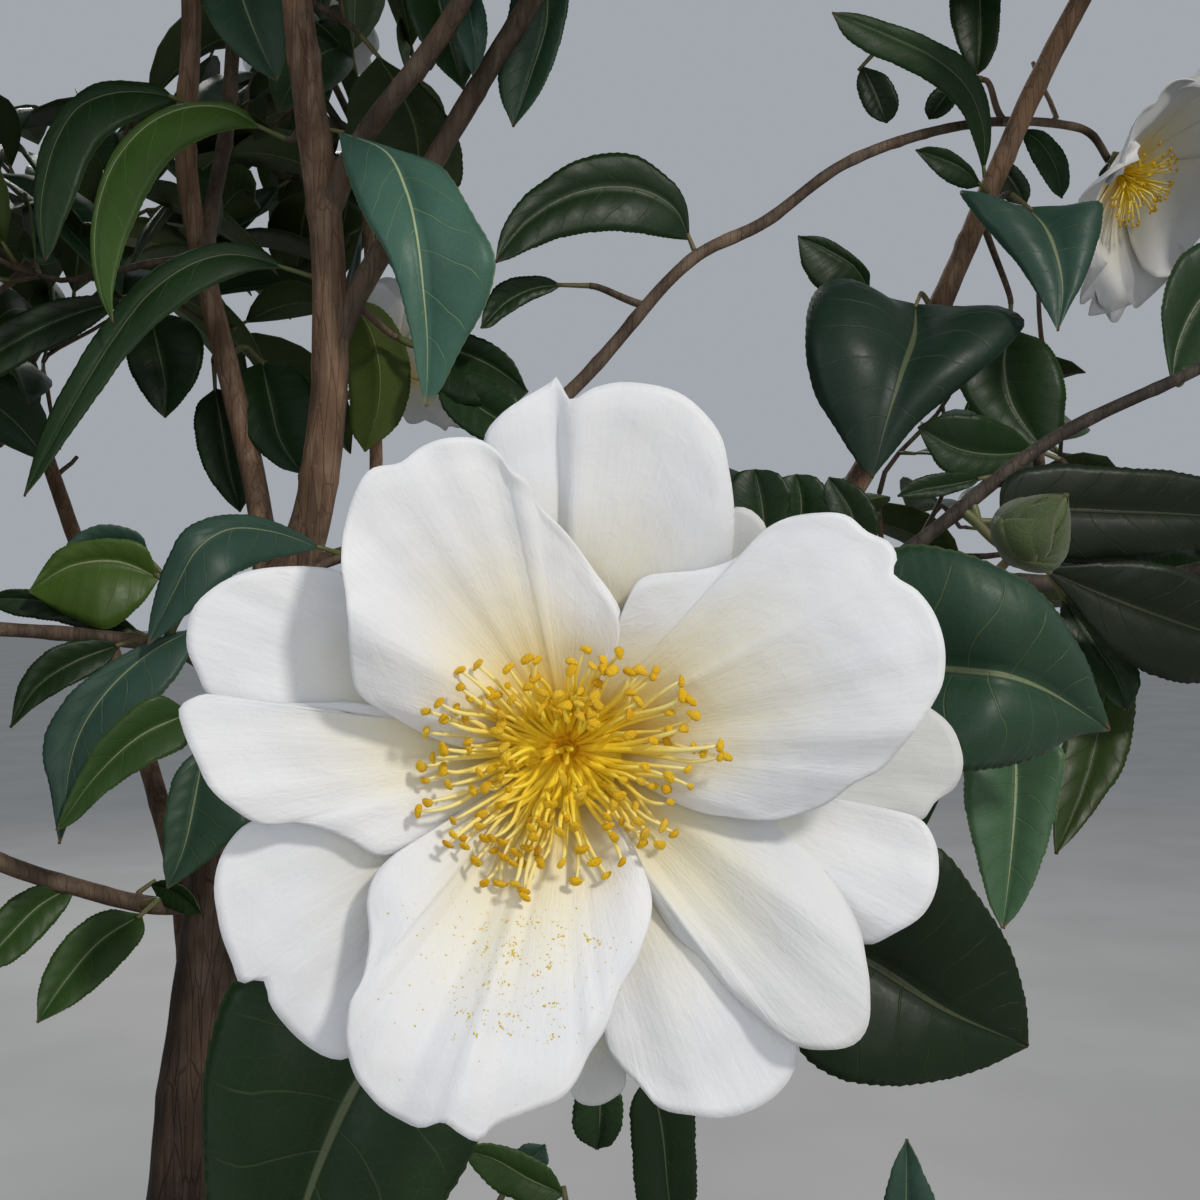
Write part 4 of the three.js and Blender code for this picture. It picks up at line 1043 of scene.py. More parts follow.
H((.48, .475, .47), [(545, -35), (547, 20), (531, 75), (513, 127)], [(520, -20), (504, 40), (499, 88)], [(567, -15), (560, 42), (538, 95)], tint="bluish", seed=19)
# upper right
H((.505, .49, .475), [(984, 172), (984, 130), (968, 88), (935, 58), (895, 38), (860, 23), (832, 12)],
  [(991, 142), (987, 100), (966, 62), (930, 39), (890, 23), (855, 13)],
  [(977, 150), (963, 113), (938, 87), (904, 68), (870, 53), (845, 34)], fold=(-.2, .4), tint="deep", seed=20)
H((.53, .525, .52), [(978, -40), (980, 0), (981, 35), (978, 74)], [(955, -25), (950, 5), (957, 42), (968, 63)], [(1000, -25), (1000, 8), (996, 46), (987, 66)], tint="dark", seed=21)
H((.53, .53, .53), [(957, 84), (944, 98), (929, 119)], [(948, 82), (930, 95), (925, 110)], [(958, 95), (950, 110), (938, 118)], tint="dark", seed=22, rows=36, teeth=12)
H((.53, .53, .53), [(862, 66), (875, 92), (887, 123)], [(857, 82), (866, 110), (878, 120)], [(884, 74), (898, 98), (895, 115)], tint="dark", seed=23, rows=40, teeth=16)
H((.50, .495, .49), [(982, 186), (962, 168), (940, 158), (916, 150)], [(974, 170), (951, 151), (930, 147)], [(966, 188), (944, 179), (927, 163)], tint="dark", seed=24, rows=44, teeth=18)
H((.515, .51, .505), [(1020, 128), (1040, 142), (1055, 165), (1062, 198)], [(1028, 150), (1041, 173), (1054, 192)], [(1046, 133), (1065, 155), (1069, 184)], tint="deep", seed=25, rows=44, teeth=18)
H((.51, .51, .51), [(998, 163), (1013, 182), (1026, 206)], [(992, 178), (1004, 198)], [(1014, 165), (1030, 188)], tint="dark", seed=26, rows=36, teeth=12)
H((.475, .462, .455), [(1028, 207), (1045, 227), (1057, 256), (1063, 290), (1058, 331)],
  [(990, 198), (961, 190), (974, 214), (1000, 243), (1023, 271), (1043, 304)],
  [(1065, 205), (1100, 203), (1102, 223), (1095, 250), (1084, 280), (1069, 308)], fold=(-.15, -.15), tint="blue", seed=27, camber=.16)
H((.485, .455, .455), [(916, 304), (914, 335), (900, 378), (886, 425), (872, 479)],
  [(888, 296), (850, 278), (818, 288), (806, 335), (814, 390), (838, 432), (858, 463)],
  [(952, 305), (1000, 307), (1023, 322), (1001, 353), (960, 388), (920, 421), (890, 456)], fold=(-.12, -.2), tint=(0.27, 0.75, 0.0), seed=28, camber=.16)
H((.50, .495, .49), [(870, 292), (856, 268), (830, 251), (798, 236)], [(868, 272), (850, 252), (823, 237)], [(850, 290), (824, 292), (804, 268)], tint="dark", seed=29)
H((.535, .53, .525), [(1010, 328), (1004, 365), (1012, 405), (1042, 448)], [(975, 348), (960, 385), (985, 421), (1017, 442)], [(1046, 343), (1064, 380), (1064, 415), (1054, 441)], tint="deep", seed=30)
H((.50, .49, .485), [(1036, 450), (1000, 455), (958, 449), (918, 427)], [(1015, 431), (985, 417), (950, 415), (930, 420)], [(1010, 469), (975, 477), (944, 470), (928, 448)], tint="deep", seed=31)
H((.47, .465, .46), [(983, 478), (950, 485), (925, 489), (898, 496)], [(965, 473), (930, 475), (908, 484)], [(965, 489), (935, 497), (912, 499)], tint="dark", seed=32, rows=44, teeth=18)
H((.45, .45, .45), [(765, 545), (762, 505), (755, 469)], [(738, 525), (729, 492), (738, 473)], [(786, 525), (790, 492), (776, 473)], tint="dark", seed=33, rows=44)
H((.46, .46, .46), [(800, 535), (801, 500), (796, 474)], [(778, 520), (772, 495), (780, 479)], [(822, 520), (828, 495), (815, 477)], tint="deep", seed=34, rows=44)
H((.44, .44, .44), [(862, 548), (850, 510), (829, 477)], [(842, 538), (826, 505), (824, 488)], [(877, 535), (870, 500), (848, 481)], tint="dark", seed=35, rows=44)
H((.34, .345, .35), [(1172, 382), (1178, 345), (1198, 303), (1240, 262)], [(1166, 350), (1162, 305), (1180, 258), (1214, 240)], [(1192, 374), (1224, 352), (1250, 308)], tint="deep", seed=36, attach=at(1187, 371, .337), stalk=.003)
H((.302, .306, .315), [(1000, 522), (1050, 511), (1120, 512), (1190, 515), (1268, 522)],
  [(1004, 482), (1040, 466), (1110, 468), (1190, 475), (1245, 497)], [(1020, 547), (1065, 562), (1130, 561), (1200, 546), (1250, 533)], fold=(.15, -.08), tint="shade", seed=37)
H((.300, .305, .315), [(1042, 568), (1090, 590), (1150, 613), (1210, 633), (1275, 648)],
  [(1080, 565), (1150, 563), (1210, 582), (1262, 616)], [(1068, 596), (1108, 647), (1160, 677), (1220, 682), (1262, 666)], fold=(.2, -.05), tint="shade", seed=38)
H((.325, .32, .315), [(1062, 596), (1092, 640), (1118, 680), (1128, 712)], [(1062, 620), (1085, 665), (1112, 702)], [(1085, 600), (1122, 640), (1140, 680)], tint="dark", seed=39, rows=50)
# round the large bloom
H((.262, .252, .262), [(868, 660), (944, 669), (1002, 675), (1045, 690), (1111, 731)],
  [(872, 565), (905, 546), (957, 552), (1015, 575), (1060, 612), (1086, 655), (1101, 697)],
  [(880, 735), (925, 766), (966, 771), (1021, 763), (1080, 736)], fold=(.12, .12), tint="bluish", seed=40, camber=.2, rows=96, across=9, wave=.0011)
# painted reflection: this leaf's light, blue and yellow values paint its silvery sheen
H((.285, .28, .275), [(1015, 735), (1016, 790), (1011, 860), (1003, 929)], [(970, 760), (966, 800), (979, 862), (992, 908)],
  [(1060, 750), (1058, 800), (1041, 862), (1018, 912)], tint=(0.88, 0.70, 0.12), seed=41)
H((.335, .325, .312), [(1108, 628), (1104, 700), (1086, 780), (1056, 854)], [(1078, 680), (1062, 755), (1054, 830)], [(1134, 680), (1127, 757), (1104, 797), (1076, 834)], tint=(0.24, 0.0, 0.45), seed=42)
H((.262, .256, .262), [(800, 930), (868, 962), (944, 1010), (1029, 1047)],
  [(860, 870), (915, 845), (940, 850), (983, 905), (1008, 946), (1026, 1010)],
  [(795, 1020), (802, 1052), (832, 1076), (868, 1084), (914, 1084), (956, 1076), (1000, 1060)], fold=(.32, .1), tint=(0.17, 0.0, 0.0), seed=43, rows=96, across=9)
H((.262, .262, .275), [(425, 985), (358, 1082), (320, 1163), (292, 1245), (262, 1335), (236, 1430)],
  [(330, 962), (262, 975), (232, 985), (211, 1040), (203, 1098), (205, 1170), (209, 1250), (222, 1350)],
  [(472, 1060), (484, 1118), (466, 1165), (440, 1207), (400, 1275), (340, 1355), (282, 1405)], fold=(.12, .14), tint="deep", seed=44, rows=110, across=10, camber=.16)
H((.295, .295, .30), [(598, 1075), (600, 1112), (597, 1150)], [(580, 1090), (573, 1120), (582, 1142)], [(618, 1090), (622, 1120), (612, 1142)], tint="deep", seed=45, rows=50)
H((.30, .305, .315), [(650, 1075), (662, 1130), (668, 1190), (676, 1260)], [(633, 1100), (633, 1150), (642, 1215)], [(688, 1095), (695, 1150), (694, 1210)], tint="deep", seed=46)
H((.35, .35, .345), [(565, 1195), (530, 1180), (495, 1160), (462, 1150)], [(550, 1170), (515, 1150), (480, 1144)], [(545, 1205), (505, 1195), (475, 1170)], tint="mid", seed=47, rows=50)
H((.36, .36, .36), [(510, 1180), (532, 1160), (545, 1145)], [(510, 1160), (525, 1145)], [(530, 1180), (548, 1162)], tint="blue", seed=48, rows=40, teeth=14)
H((.365, .36, .36), [(905, 1260), (906, 1200), (907, 1139)], [(884, 1220), (893, 1168)], [(938, 1220), (921, 1168)], tint="blue", seed=49, rows=50)
# left middle
H((.43, .40, .395), [(322, 548), (272, 531), (228, 529), (197, 549), (173, 592), (147, 646)],
  [(300, 533), (262, 518), (217, 516), (186, 530), (165, 566), (151, 612)], [(300, 553), (264, 561), (236, 573), (208, 594), (175, 624)], fold=(-.3, .3), tint="blue", seed=50)
H((.44, .435, .43), [(160, 578), (115, 561), (70, 566), (28, 592)], [(142, 545), (100, 540), (58, 550)], [(142, 603), (108, 628), (72, 617)], tint="bright", seed=51)
H((.445, .44, .435), [(140, 633), (92, 612), (42, 601), (-15, 598)], [(115, 612), (62, 594), (10, 590)], [(110, 637), (60, 622), (5, 612)], tint="dark", seed=52)
H((.45, .445, .44), [(150, 560), (118, 540), (82, 548), (60, 575)], [(140, 535), (105, 525), (70, 540)], [(140, 575), (108, 575), (78, 580)], tint="blue", seed=53, rows=50)
H((.405, .395, .39), [(195, 628), (150, 652), (106, 692), (76, 742), (59, 845)], [(160, 637), (110, 663), (64, 702), (44, 742), (50, 790)],
  [(188, 655), (163, 693), (130, 722), (100, 752), (78, 795)], fold=(.2, .25), tint="blue", seed=54)
H((.42, .41, .405), [(122, 644), (76, 661), (38, 686), (10, 728)], [(92, 639), (50, 650), (20, 682)], [(102, 668), (66, 687), (34, 707)], tint="dark", seed=55)
H((.40, .39, .385), [(192, 712), (140, 736), (96, 776), (56, 831)], [(155, 696), (104, 736), (73, 787)], [(186, 744), (150, 763), (105, 793), (74, 822)], tint="mid", seed=56)
H((.375, .37, .365), [(205, 742), (194, 800), (183, 850), (167, 889)], [(176, 773), (165, 820), (164, 862)], [(248, 822), (226, 844), (195, 870)], fold=(.35, .25), tint="bluish", seed=57)
H((.43, .42, .41), [(78, 884), (40, 905), (5, 940), (-25, 972)], [(45, 884), (10, 900), (-15, 932)], [(66, 907), (40, 938), (8, 964)], tint="mid", seed=58)
H((.425, .415, .405), [(142, 914), (100, 941), (66, 980), (37, 1023)], [(104, 911), (64, 940), (40, 985)], [(144, 932), (118, 966), (78, 1001)], tint="mid", seed=59)
H((.445, .44, .435), [(150, 884), (175, 893), (202, 914)], [(165, 880), (190, 892)], [(160, 902), (185, 914)], tint="dark", seed=60, rows=40, teeth=14)

for args, keys in HERO_LEAVES:
    hero_leaf(*args, **keys)

for soup, soup_name in zip(hero, ("near_leaves_first", "near_leaves_second")):
    soup.build(soup_name, [LEAF_TOP, LEAF_UNDER], "leaf")

# ------------------------------------------------------------- large bloom
HEART = (567.0, 745.0)
HEART_DEPTH = 0.2345


def petal(name, outline_px, rim, seed, ruffle=0.0011, pleat=0.00022, grey=0.0, rows=37, cols=96, foot=1.0, heart=HEART, layer=0.0, creases=()):
    """A petal of the large bloom from its outline as seen, and its margin's depths."""
    edge = np.array([(x, y) for x, y in outline_px], float)
    steps = np.concatenate([[0], np.cumsum(np.linalg.norm(np.diff(edge, axis=0), axis=1))])
    steps /= steps[-1]
    s = np.linspace(0, 1, cols)
    e3 = np.column_stack([edge, np.zeros(len(edge))])
    e = spline(e3, cols)[:, :2]
    dep = np.interp(s, np.linspace(0, 1, len(rim)) if not isinstance(rim[0], tuple) else [a for a, _ in rim],
                    rim if not isinstance(rim[0], tuple) else [b for _, b in rim])
    w = np.hanning(17)
    dep = np.convolve(np.pad(dep, 8, mode="edge"), w / w.sum(), mode="valid")
    along = unit(np.gradient(e, axis=0))
    scallop = 2.0 * wobble(seed + 7, cols, 2, 15.0) + 1.5 * wobble(seed + 13, cols, 2, 29.0)
    e = e + np.column_stack([along[:, 1], -along[:, 0]]) * (scallop * smooth(0.0, 0.12, s) * smooth(1.0, 0.88, s))[:, None]
    centre = e[cols // 4: -cols // 4].mean(axis=0)
    out = unit(centre - np.array(heart))
    side = np.array((-out[1], out[0]))
    if (e[-1] - e[0]).dot(side) < 0:
        side = -side
    foot_px = np.array(heart) + out * 16 + (s[:, None] - 0.5) * side * 34
    r = np.linspace(0, 1, rows)
    ease = 1 - (1 - r) ** 1.65
    rnd = np.random.RandomState(seed)
    ruff = wobble(seed, cols, 3, 6.0)
    ruff2 = wobble(seed + 50, cols, 2, 3.0)
    fold = wobble(seed + 99, cols, 2, 22.0)
    flute = wobble(seed + 133, cols, 2, 36.0)
    grid = np.empty((rows, cols, 3))
    for i, (rr, ee) in enumerate(zip(r, ease)):
        p = foot_px + (e - foot_px) * rr
        base = HEART_DEPTH - layer
        d = base + (dep - base) * ee
        d = d + ruff * ruffle * rr ** 3 + ruff2 * ruffle * 0.9 * math.sin(math.pi * min(rr, 1)) ** 1.2
        d = d + fold * pleat * rr ** 1.3 + flute * 0.00042 * rr ** 3.2
        for cs, depth_mm, width in creases:
            d = d + depth_mm / 1000 * np.exp(-((s - cs) / width) ** 2) * rr ** 1.1
        d = d - 0.0007 * smooth(0.92, 1.0, np.array(rr)) * ruff
        k = HALF * d / 600
        grid[i, :, 0] = EYE[0] + (p[:, 0] - 600) * k
        grid[i, :, 1] = EYE[1] + d
        grid[i, :, 2] = EYE[2] - (p[:, 1] - 600) * k
    grid[..., 1] += (0.00022 * clumps(grid, 260, seed) + 0.0008 * clumps(grid, 90, seed + 3) + 0.0019 * clumps(grid, 42, seed + 8)) * r[:, None]
    nrm = grid_normals(grid)
    if nrm[rows // 2, cols // 2, 1] > 0:
        grid = grid[:, ::-1]
        s = s[::-1]
    uv = np.stack(np.meshgrid(r, s, indexing="ij")[::-1], axis=-1)
    thick = 0.00046 - 0.00030 * np.repeat(r[:, None] ** 0.8, cols, 1)
    v, f, which = shell(grid, thick)
    soup = Soup()
    # the tint's second value is the petal's painted shade
    soup.add(v, f, uv=np.concatenate([uv.reshape(-1, 2)] * 2), tint=(0.5, grey, foot))
    piece = soup.build(name, [PETAL], "petal", replaces=["bloom_front"])
    return piece, grid


# grey= paints shade on the petals that lie in shadow
PETALS = {
    "petal_top": ([(560, 705), (520, 600), (492, 500), (482, 438), (500, 414), (527, 394), (549, 380), (557, 374), (563, 388), (571, 400), (592, 388), (620, 382), (650, 383),
                   (680, 393), (705, 414), (722, 440), (730, 475), (733, 520), (730, 570), (700, 640), (620, 705)],
                  [.2315, .226, .2225, .2185, .2195, .2175, .218, .2225, .227, .2315], 1, dict(creases=((.42, 1.6, .03), (.46, -1.0, .03)))),
    "petal_sliver": ([(650, 690), (700, 600), (728, 515), (735, 506), (752, 508), (768, 530), (756, 546), (736, 560), (660, 700)], [.2325, .229, .227, .229, .2325], 2, dict(grey=.9, cols=50)),
    "petal_left_upper": ([(500, 735), (430, 700), (352, 655), (343, 600), (341, 574), (310, 568), (280, 566), (245, 572), (215, 590), (195, 612), (190, 645), (198, 672), (208, 694),
                          (270, 725), (380, 765), (500, 755)], [.2325, .229, .2245, .2210, .2192, .2182, .2212, .2272, .2328], 3, dict(layer=-.0009)),
    "petal_low_left": ([(500, 790), (420, 850), (370, 858), (340, 843), (310, 829), (280, 822), (252, 822), (235, 835), (220, 862), (213, 892), (218, 925), (230, 960), (240, 984), (263, 980),
                        (269, 1002), (283, 1022), (312, 1046), (348, 1056), (385, 1010), (440, 890), (520, 800)],
                       [.2315, .2275, .2245, .2205, .219, .2195, .2215, .2215, .2225, .227, .2318], 4, dict(creases=((.60, 1.2, .03),))),
    "petal_right_low": ([(650, 765), (760, 755), (880, 740), (918, 702), (940, 712), (957, 738), (963, 765), (955, 788), (935, 803), (920, 820), (880, 818), (800, 806), (650, 790)],
                        [.2315, .228, .2255, .2225, .2215, .2225, .2255, .2285, .2318], 5, dict(grey=.95)),
    "petal_low_right_small": ([(650, 785), (740, 797), (800, 797), (850, 803), (895, 812), (922, 822), (936, 845), (938, 872), (930, 900), (905, 927), (868, 946), (840, 925), (790, 880), (700, 830), (640, 800)],
                              [.231, .228, .2245, .2205, .2190, .2195, .2225, .2265, .2312], 6, {}),
    "petal_bottom_right": ([(590, 815), (620, 890), (632, 950), (618, 995), (604, 1040), (612, 1058), (640, 1090), (662, 1110), (700, 1116), (740, 1113), (772, 1100), (793, 1078), (799, 1047),
                            (770, 1000), (705, 915), (625, 812)], [.2308, .226, .2220, .2195, .2170, .2165, .2185, .2215, .2265, .2310], 7, dict(ruffle=.0015)),
    "petal_behind_bottom": ([(575, 1020), (570, 1085), (578, 1101), (600, 1105), (622, 1093), (625, 1060), (610, 1010)], [.231, .230, .229, .230, .231], 8, dict(grey=.9, cols=40, heart=(590.0, 960.0), rows=24)),
    "petal_low_right": ([(610, 805), (645, 870), (664, 915), (705, 963), (750, 1012), (797, 1046), (825, 1048), (855, 1041), (870, 1020), (873, 990), (866, 955), (855, 920), (838, 885), (812, 852),
                         (798, 824), (765, 812), (700, 800), (640, 785)], [.2302, .2255, .2205, .2170, .2140, .2130, .2150, .2190, .2240, .2280, .2304], 9, dict(layer=.0004, grey=.50)),
    "petal_left": ([(500, 745), (420, 715), (340, 703), (270, 702), (230, 697), (204, 693), (181, 707), (185, 728), (196, 755), (212, 785), (235, 808), (262, 823), (300, 825), (345, 838), (378, 858),
                    (410, 845), (480, 795), (520, 770)], [.2302, .2250, .2205, .2175, .2145, .2138, .2150, .2175, .2205, .2255, .2300], 10, dict(layer=.0004, creases=((.12, -1.2, .05),))),
    "petal_bottom": ([(510, 795), (450, 832), (402, 848), (379, 868), (366, 900), (368, 945), (362, 975), (349, 1005), (345, 1040), (354, 1080), (375, 1106), (400, 1120), (420, 1127), (443, 1120),
                      (462, 1134), (478, 1142), (492, 1130), (530, 1116), (565, 1100), (588, 1062), (604, 1035), (620, 990), (640, 950), (652, 905), (640, 860), (610, 805)],
                     [.2298, .2235, .2175, .2135, .2110, .2095, .2085, .2100, .2130, .2165, .2205, .2290], 11, dict(layer=.0009, ruffle=.0015, creases=((.45, 1.4, .02), (.52, -1.3, .018), (.36, .9, .02)), rows=48, cols=128)),
    "petal_upper_left": ([(530, 750), (470, 748), (425, 735), (385, 714), (356, 690), (349, 650), (346, 600), (342, 560), (348, 520), (357, 490), (372, 470), (400, 462), (420, 447), (440, 438),
                          (460, 436), (480, 440), (498, 452), (508, 468), (528, 480), (540, 505), (565, 530), (590, 562), (612, 592), (622, 620), (612, 665), (590, 705)],
                         [.2290, .2225, .2130, .2080, .2085, .2105, .2135, .2165, .2200, .2240, .2295], 12, dict(layer=.0012, ruffle=.0013, creases=((.30, -.8, .03), (.62, .9, .022), (.68, -.9, .02)), rows=48, cols=128)),
    "petal_right": ([(595, 700), (612, 650), (630, 600), (642, 580), (665, 573), (700, 570), (735, 557), (765, 530), (790, 516), (820, 512), (848, 516), (868, 532), (890, 543), (898, 558), (894, 572),
                     (918, 590), (936, 618), (945, 650), (943, 680), (926, 712), (902, 742), (885, 762), (855, 782), (830, 800), (790, 816), (750, 820), (710, 816), (670, 800), (620, 770)],
                    [.2290, .2240, .2210, .2170, .2130, .2100, .2075, .2070, .2085, .2120, .2165, .2220, .2290], 13, dict(layer=.0012, ruffle=.0014, creases=((.40, 1.0, .025), (.55, -.7, .03)), rows=48, cols=132)),
}
petal_grids = {}
for petal_name, (outline_px, rim, seed, keys) in PETALS.items():
    _, petal_grids[petal_name] = petal(petal_name, outline_px, rim, seed, **keys)


# stamens: a fused ring round the style, then a wheel of curved filaments
def anther_shape(sides=11, rings=9, seed=0):
    """A lumpy two-lobed anther, blunt at one end and pointed at the other, unit length along X."""
    rs = np.random.RandomState(seed)
    t = np.linspace(0.05, math.pi - 0.05, rings)
    a = np.arange(sides) / sides * 2 * math.pi
    x = -np.cos(t)[:, None] * np.ones(sides) * 0.5
    lump = 1 + 0.13 * rs.uniform(-1, 1, (rings, sides))
    furrow = 1 - 0.36 * np.sin(t)[:, None] * np.exp(-((a - math.pi / 2) / 0.5) ** 2)[None, :] - 0.16 * np.exp(-((a - 1.5 * math.pi) / 0.5) ** 2)[None, :]
    taper = 1 + rs.uniform(-0.5, 0.5) * 2 * x
    rad = np.sin(t)[:, None] ** 0.82 * 0.300 * taper * lump * furrow
    turn = rs.uniform(-0.9, 0.9) * x
    y = rad * np.cos(a + turn) * rs.uniform(0.92, 1.2)
    z = rad * np.sin(a + turn) * rs.uniform(0.62, 0.9) - rs.uniform(0.05, 0.65) * x ** 2 - 0.03
    g = np.stack([x, y, z], axis=-1)
    v = g.reshape(-1, 3)
    q = grid_quads(rings, sides, 0, wrap=True)
    a0, b0 = len(v), len(v) + 1
    v = np.vstack([v, g[0].mean(axis=0), g[-1].mean(axis=0)])
    low = [(a0, (j + 1) % sides, j, -1) for j in range(sides)]
    k = (rings - 1) * sides
    top = [(b0, k + j, k + (j + 1) % sides, -1) for j in range(sides)]
    return v, np.vstack([q, low, top])


ANTHERS = [anther_shape(11, 9, k) for k in range(14)]
ANTHER_SMALL = anther_shape(6, 4)


def turn_to(x_axis, hint):
    x = unit(x_axis)
    z = unit(hint - x * np.dot(hint, x))
    return np.stack([x, np.cross(z, x), z], axis=1)


filaments, anthers_soup = Soup(), Soup()
REACH = [(0, 160), (30, 142), (60, 112), (90, 104), (120, 124), (150, 140), (180, 158), (210, 158), (240, 150), (270, 152), (300, 142), (330, 138), (360, 160)]


# the stamens are fused into a fluted funnel: radius and how far it stands forward
FUNNEL = [(0.0006, 0.0036), (0.0012, 0.0046), (0.0022, 0.0062), (0.0036, 0.0076), (0.0052, 0.0086), (0.0070, 0.0090), (0.0088, 0.0089)]


def on_funnel(centre, radius, a):
    """A point on the funnel's inner face and the way that its filaments leave it."""
    rr = [q[0] for q in FUNNEL]
    hh = [q[1] for q in FUNNEL]
    high = float(np.interp(radius, rr, hh))
    slope = (float(np.interp(radius + 0.0006, rr, hh)) - float(np.interp(radius - 0.0006, rr, hh))) / 0.0012
    out = np.array((math.cos(a), 0, math.sin(a)))
    return centre + out * radius + np.array((0, -high, 0)), unit(out + np.array((0, -max(slope, 0.35), 0)))


def big_stamens():
    rnd = random.Random(77)
    heart = at(HEART[0], HEART[1], HEART_DEPTH)
    verts, quads = [], []
    for g in petal_grids.values():
        quads.extend(tuple(q) for q in grid_quads(g.shape[0], g.shape[1], len(verts)).tolist())
        verts.extend(Vector(p) for p in g.reshape(-1, 3))
    petal_tree = BVHTree.FromPolygons(verts, quads)
    eye = Vector(EYE)
    placed = []
    wanted = [(rnd.uniform(0, 360), rnd.uniform(0.12, 0.34)) for _ in range(10)]
    count = 0
    tries = 0
    while count < 152 and tries < 12000:
        tries += 1
        if tries <= len(wanted):
            a, share = wanted[tries - 1]
        else:
            a = rnd.uniform(0, 360)
            share = rnd.betavariate(2.4, 1.05)
        reach = np.interp(a, [k for k, _ in REACH], [r for _, r in REACH])
        rad = reach * (0.12 + 0.88 * share)
        x = HEART[0] + rad * math.cos(math.radians(a)) + rnd.gauss(0, 2)
        y = HEART[1] + 8 * share - rad * math.sin(math.radians(a)) + rnd.gauss(0, 2)
        if any(math.hypot(x - px, y - py) < (5.5 if rnd.random() < 0.4 else 10.5) for px, py in placed):
            continue
        placed.append((x, y))
        count += 1
        lean = min(1.0, rad / 150)
        rise = 0.0210 - 0.0080 * lean ** 1.6 + rnd.gauss(0, 0.0013)
        deep = HEART_DEPTH - rise
        hit = petal_tree.ray_cast(eye, (Vector(at(x, y, 0.3)) - eye).normalized())
        if hit[0] is not None:   # clear of the petal behind it
            deep = min(deep, hit[0].y - EYE[1] - rnd.uniform(0.0018, 0.0045))
        tip = at(x, y, deep)
        ra = math.radians(a + rnd.gauss(0, 6))
        start = rnd.uniform(0.0015, 0.0046) if lean > 0.34 else rnd.uniform(0.0012, 0.0030)
        foot = on_funnel(heart, start, ra)[0] + np.array((0, 0.00035, 0))
        root, leave = on_funnel(heart, start + (0.0012 + 0.0030 * rnd.random()) * min(1, lean * 1.4), ra)
        root = root - np.array((0, 0.0001 + 0.0008 * rnd.random() ** 2, 0))
        span = np.linalg.norm(tip - root)
        fwd = np.array((0, -1.0, 0))
        out = np.array((math.cos(ra), 0, math.sin(ra)))
        c1 = root + unit(leave + out * 0.25 * lean) * span * 0.40
        swerve = np.array((rnd.gauss(0, 1), 0, rnd.gauss(0, 1))) * 0.0012
        hook = rnd.random()
        c2 = tip - unit(out * (0.75 + 0.4 * lean) + fwd * ((0.55 - 0.4 * lean) if hook < 0.7 else (1.2 - 0.3 * lean)) + np.array((0, 0, 0.10))) * span * 0.34 + swerve
        path = np.vstack([foot * (1 - f) + root * f - np.array((0, 0.0001, 0)) * math.sin(math.pi * f) for f in (0, 0.35, 0.7)] + [bezier(root, c1, c2, tip, 14)])
        thick = rnd.uniform(0.88, 1.16)
        r = np.interp(np.linspace(0, 1, 17), [0, 0.3, 0.85, 1], [0.00034, 0.00040, 0.00033, 0.00022]) * thick
        v, q, rings = tube(path, r, 7)
        uv = np.zeros((len(v), 2))
        away = np.clip(np.hypot(path[:, 0] - heart[0], path[:, 2] - heart[2]) / 0.021, 0.06, 1.0)
        away = 0.80 * away + 0.20 * np.linspace(0.1, 1, 17)
        uv[: 17 * 7, 1] = np.repeat(away, 7)
        uv[-2, 1] = away[0]
        uv[-1, 1] = away[-1]
        filaments.add(v, q, uv=uv)
        end = unit(path[-1] - path[-2])
        spin = unit(np.array((rnd.gauss(0, 1), rnd.gauss(0, 0.45), rnd.gauss(0, 1))))
        hint = unit(end + 0.5 * fwd + 0.25 * spin)
        m = turn_to(unit(spin - hint * spin.dot(hint)), hint)
        size = rnd.uniform(0.0018, 0.0025)
        bean, faces = rnd.choice(ANTHERS)
        v = (bean * size * np.array((1, rnd.uniform(0.80, 1.15), rnd.uniform(0.85, 1.2)))) @ m.T + tip + end * size * 0.12
        anthers_soup.add(v, faces, tint=(0.5, max(0, min(0.6, rnd.gauss(0.12, 0.16))), max(0, min(0.6, rnd.gauss(0.06, 0.12)))))
    # the funnel, fluted by the filaments that are fused in it
    sides = 192
    ang = np.linspace(0, 2 * math.pi, sides + 1)[:-1]
    prof = [(r, -h) for r, h in FUNNEL] + [(r + d, -h) for r, h, d in ((0.0088, 0.0084, 0), (0.0074, 0.0081, 0), (0.0058, 0.0072, 0), (0.0044, 0.0048, 0), (0.0036, 0.0010, 0), (0.0010, -0.0004, 0))]
    ribs = wobble(71, sides, 2, 40.0) + 0.5 * np.cos(38 * ang)
    rim = wobble(19, sides, 2, 30.0)
    rings, tone = [], []
    for k, (r, y) in enumerate(prof):
        share = min(1.0, r / 0.0088)
        lift = 0.00028 * ribs * share + 0.0007 * rim * share ** 6
        rr = r * (1 + 0.05 * rim * share ** 4)
        rings.append(np.stack([heart[0] + rr * np.cos(ang), heart[1] + y - lift, heart[2] + rr * np.sin(ang)], axis=1))
        tone.append(0.01 + 0.30 * share)
    g = np.array(rings)
    v = np.vstack([g.reshape(-1, 3), g[0].mean(axis=0), g[-1].mean(axis=0)])
    k = (len(prof) - 1) * sides
    low = np.array([(len(v) - 2, j, (j + 1) % sides, -1) for j in range(sides)])
    top = np.array([(len(v) - 1, k + (j + 1) % sides, k + j, -1) for j in range(sides)])
    uv = np.zeros((len(v), 2))
    uv[: len(prof) * sides, 1] = np.repeat(tone, sides)
    filaments.add(v, np.vstack([grid_quads(len(prof), sides, 0, wrap=True)[:, ::-1], low, top]), uv=uv)
    for k in range(3):   # the style's three arms
        a = 0.7 + k * 2.1
        tip = heart + np.array((0.0013 * math.cos(a), -0.0148, 0.0013 * math.sin(a)))
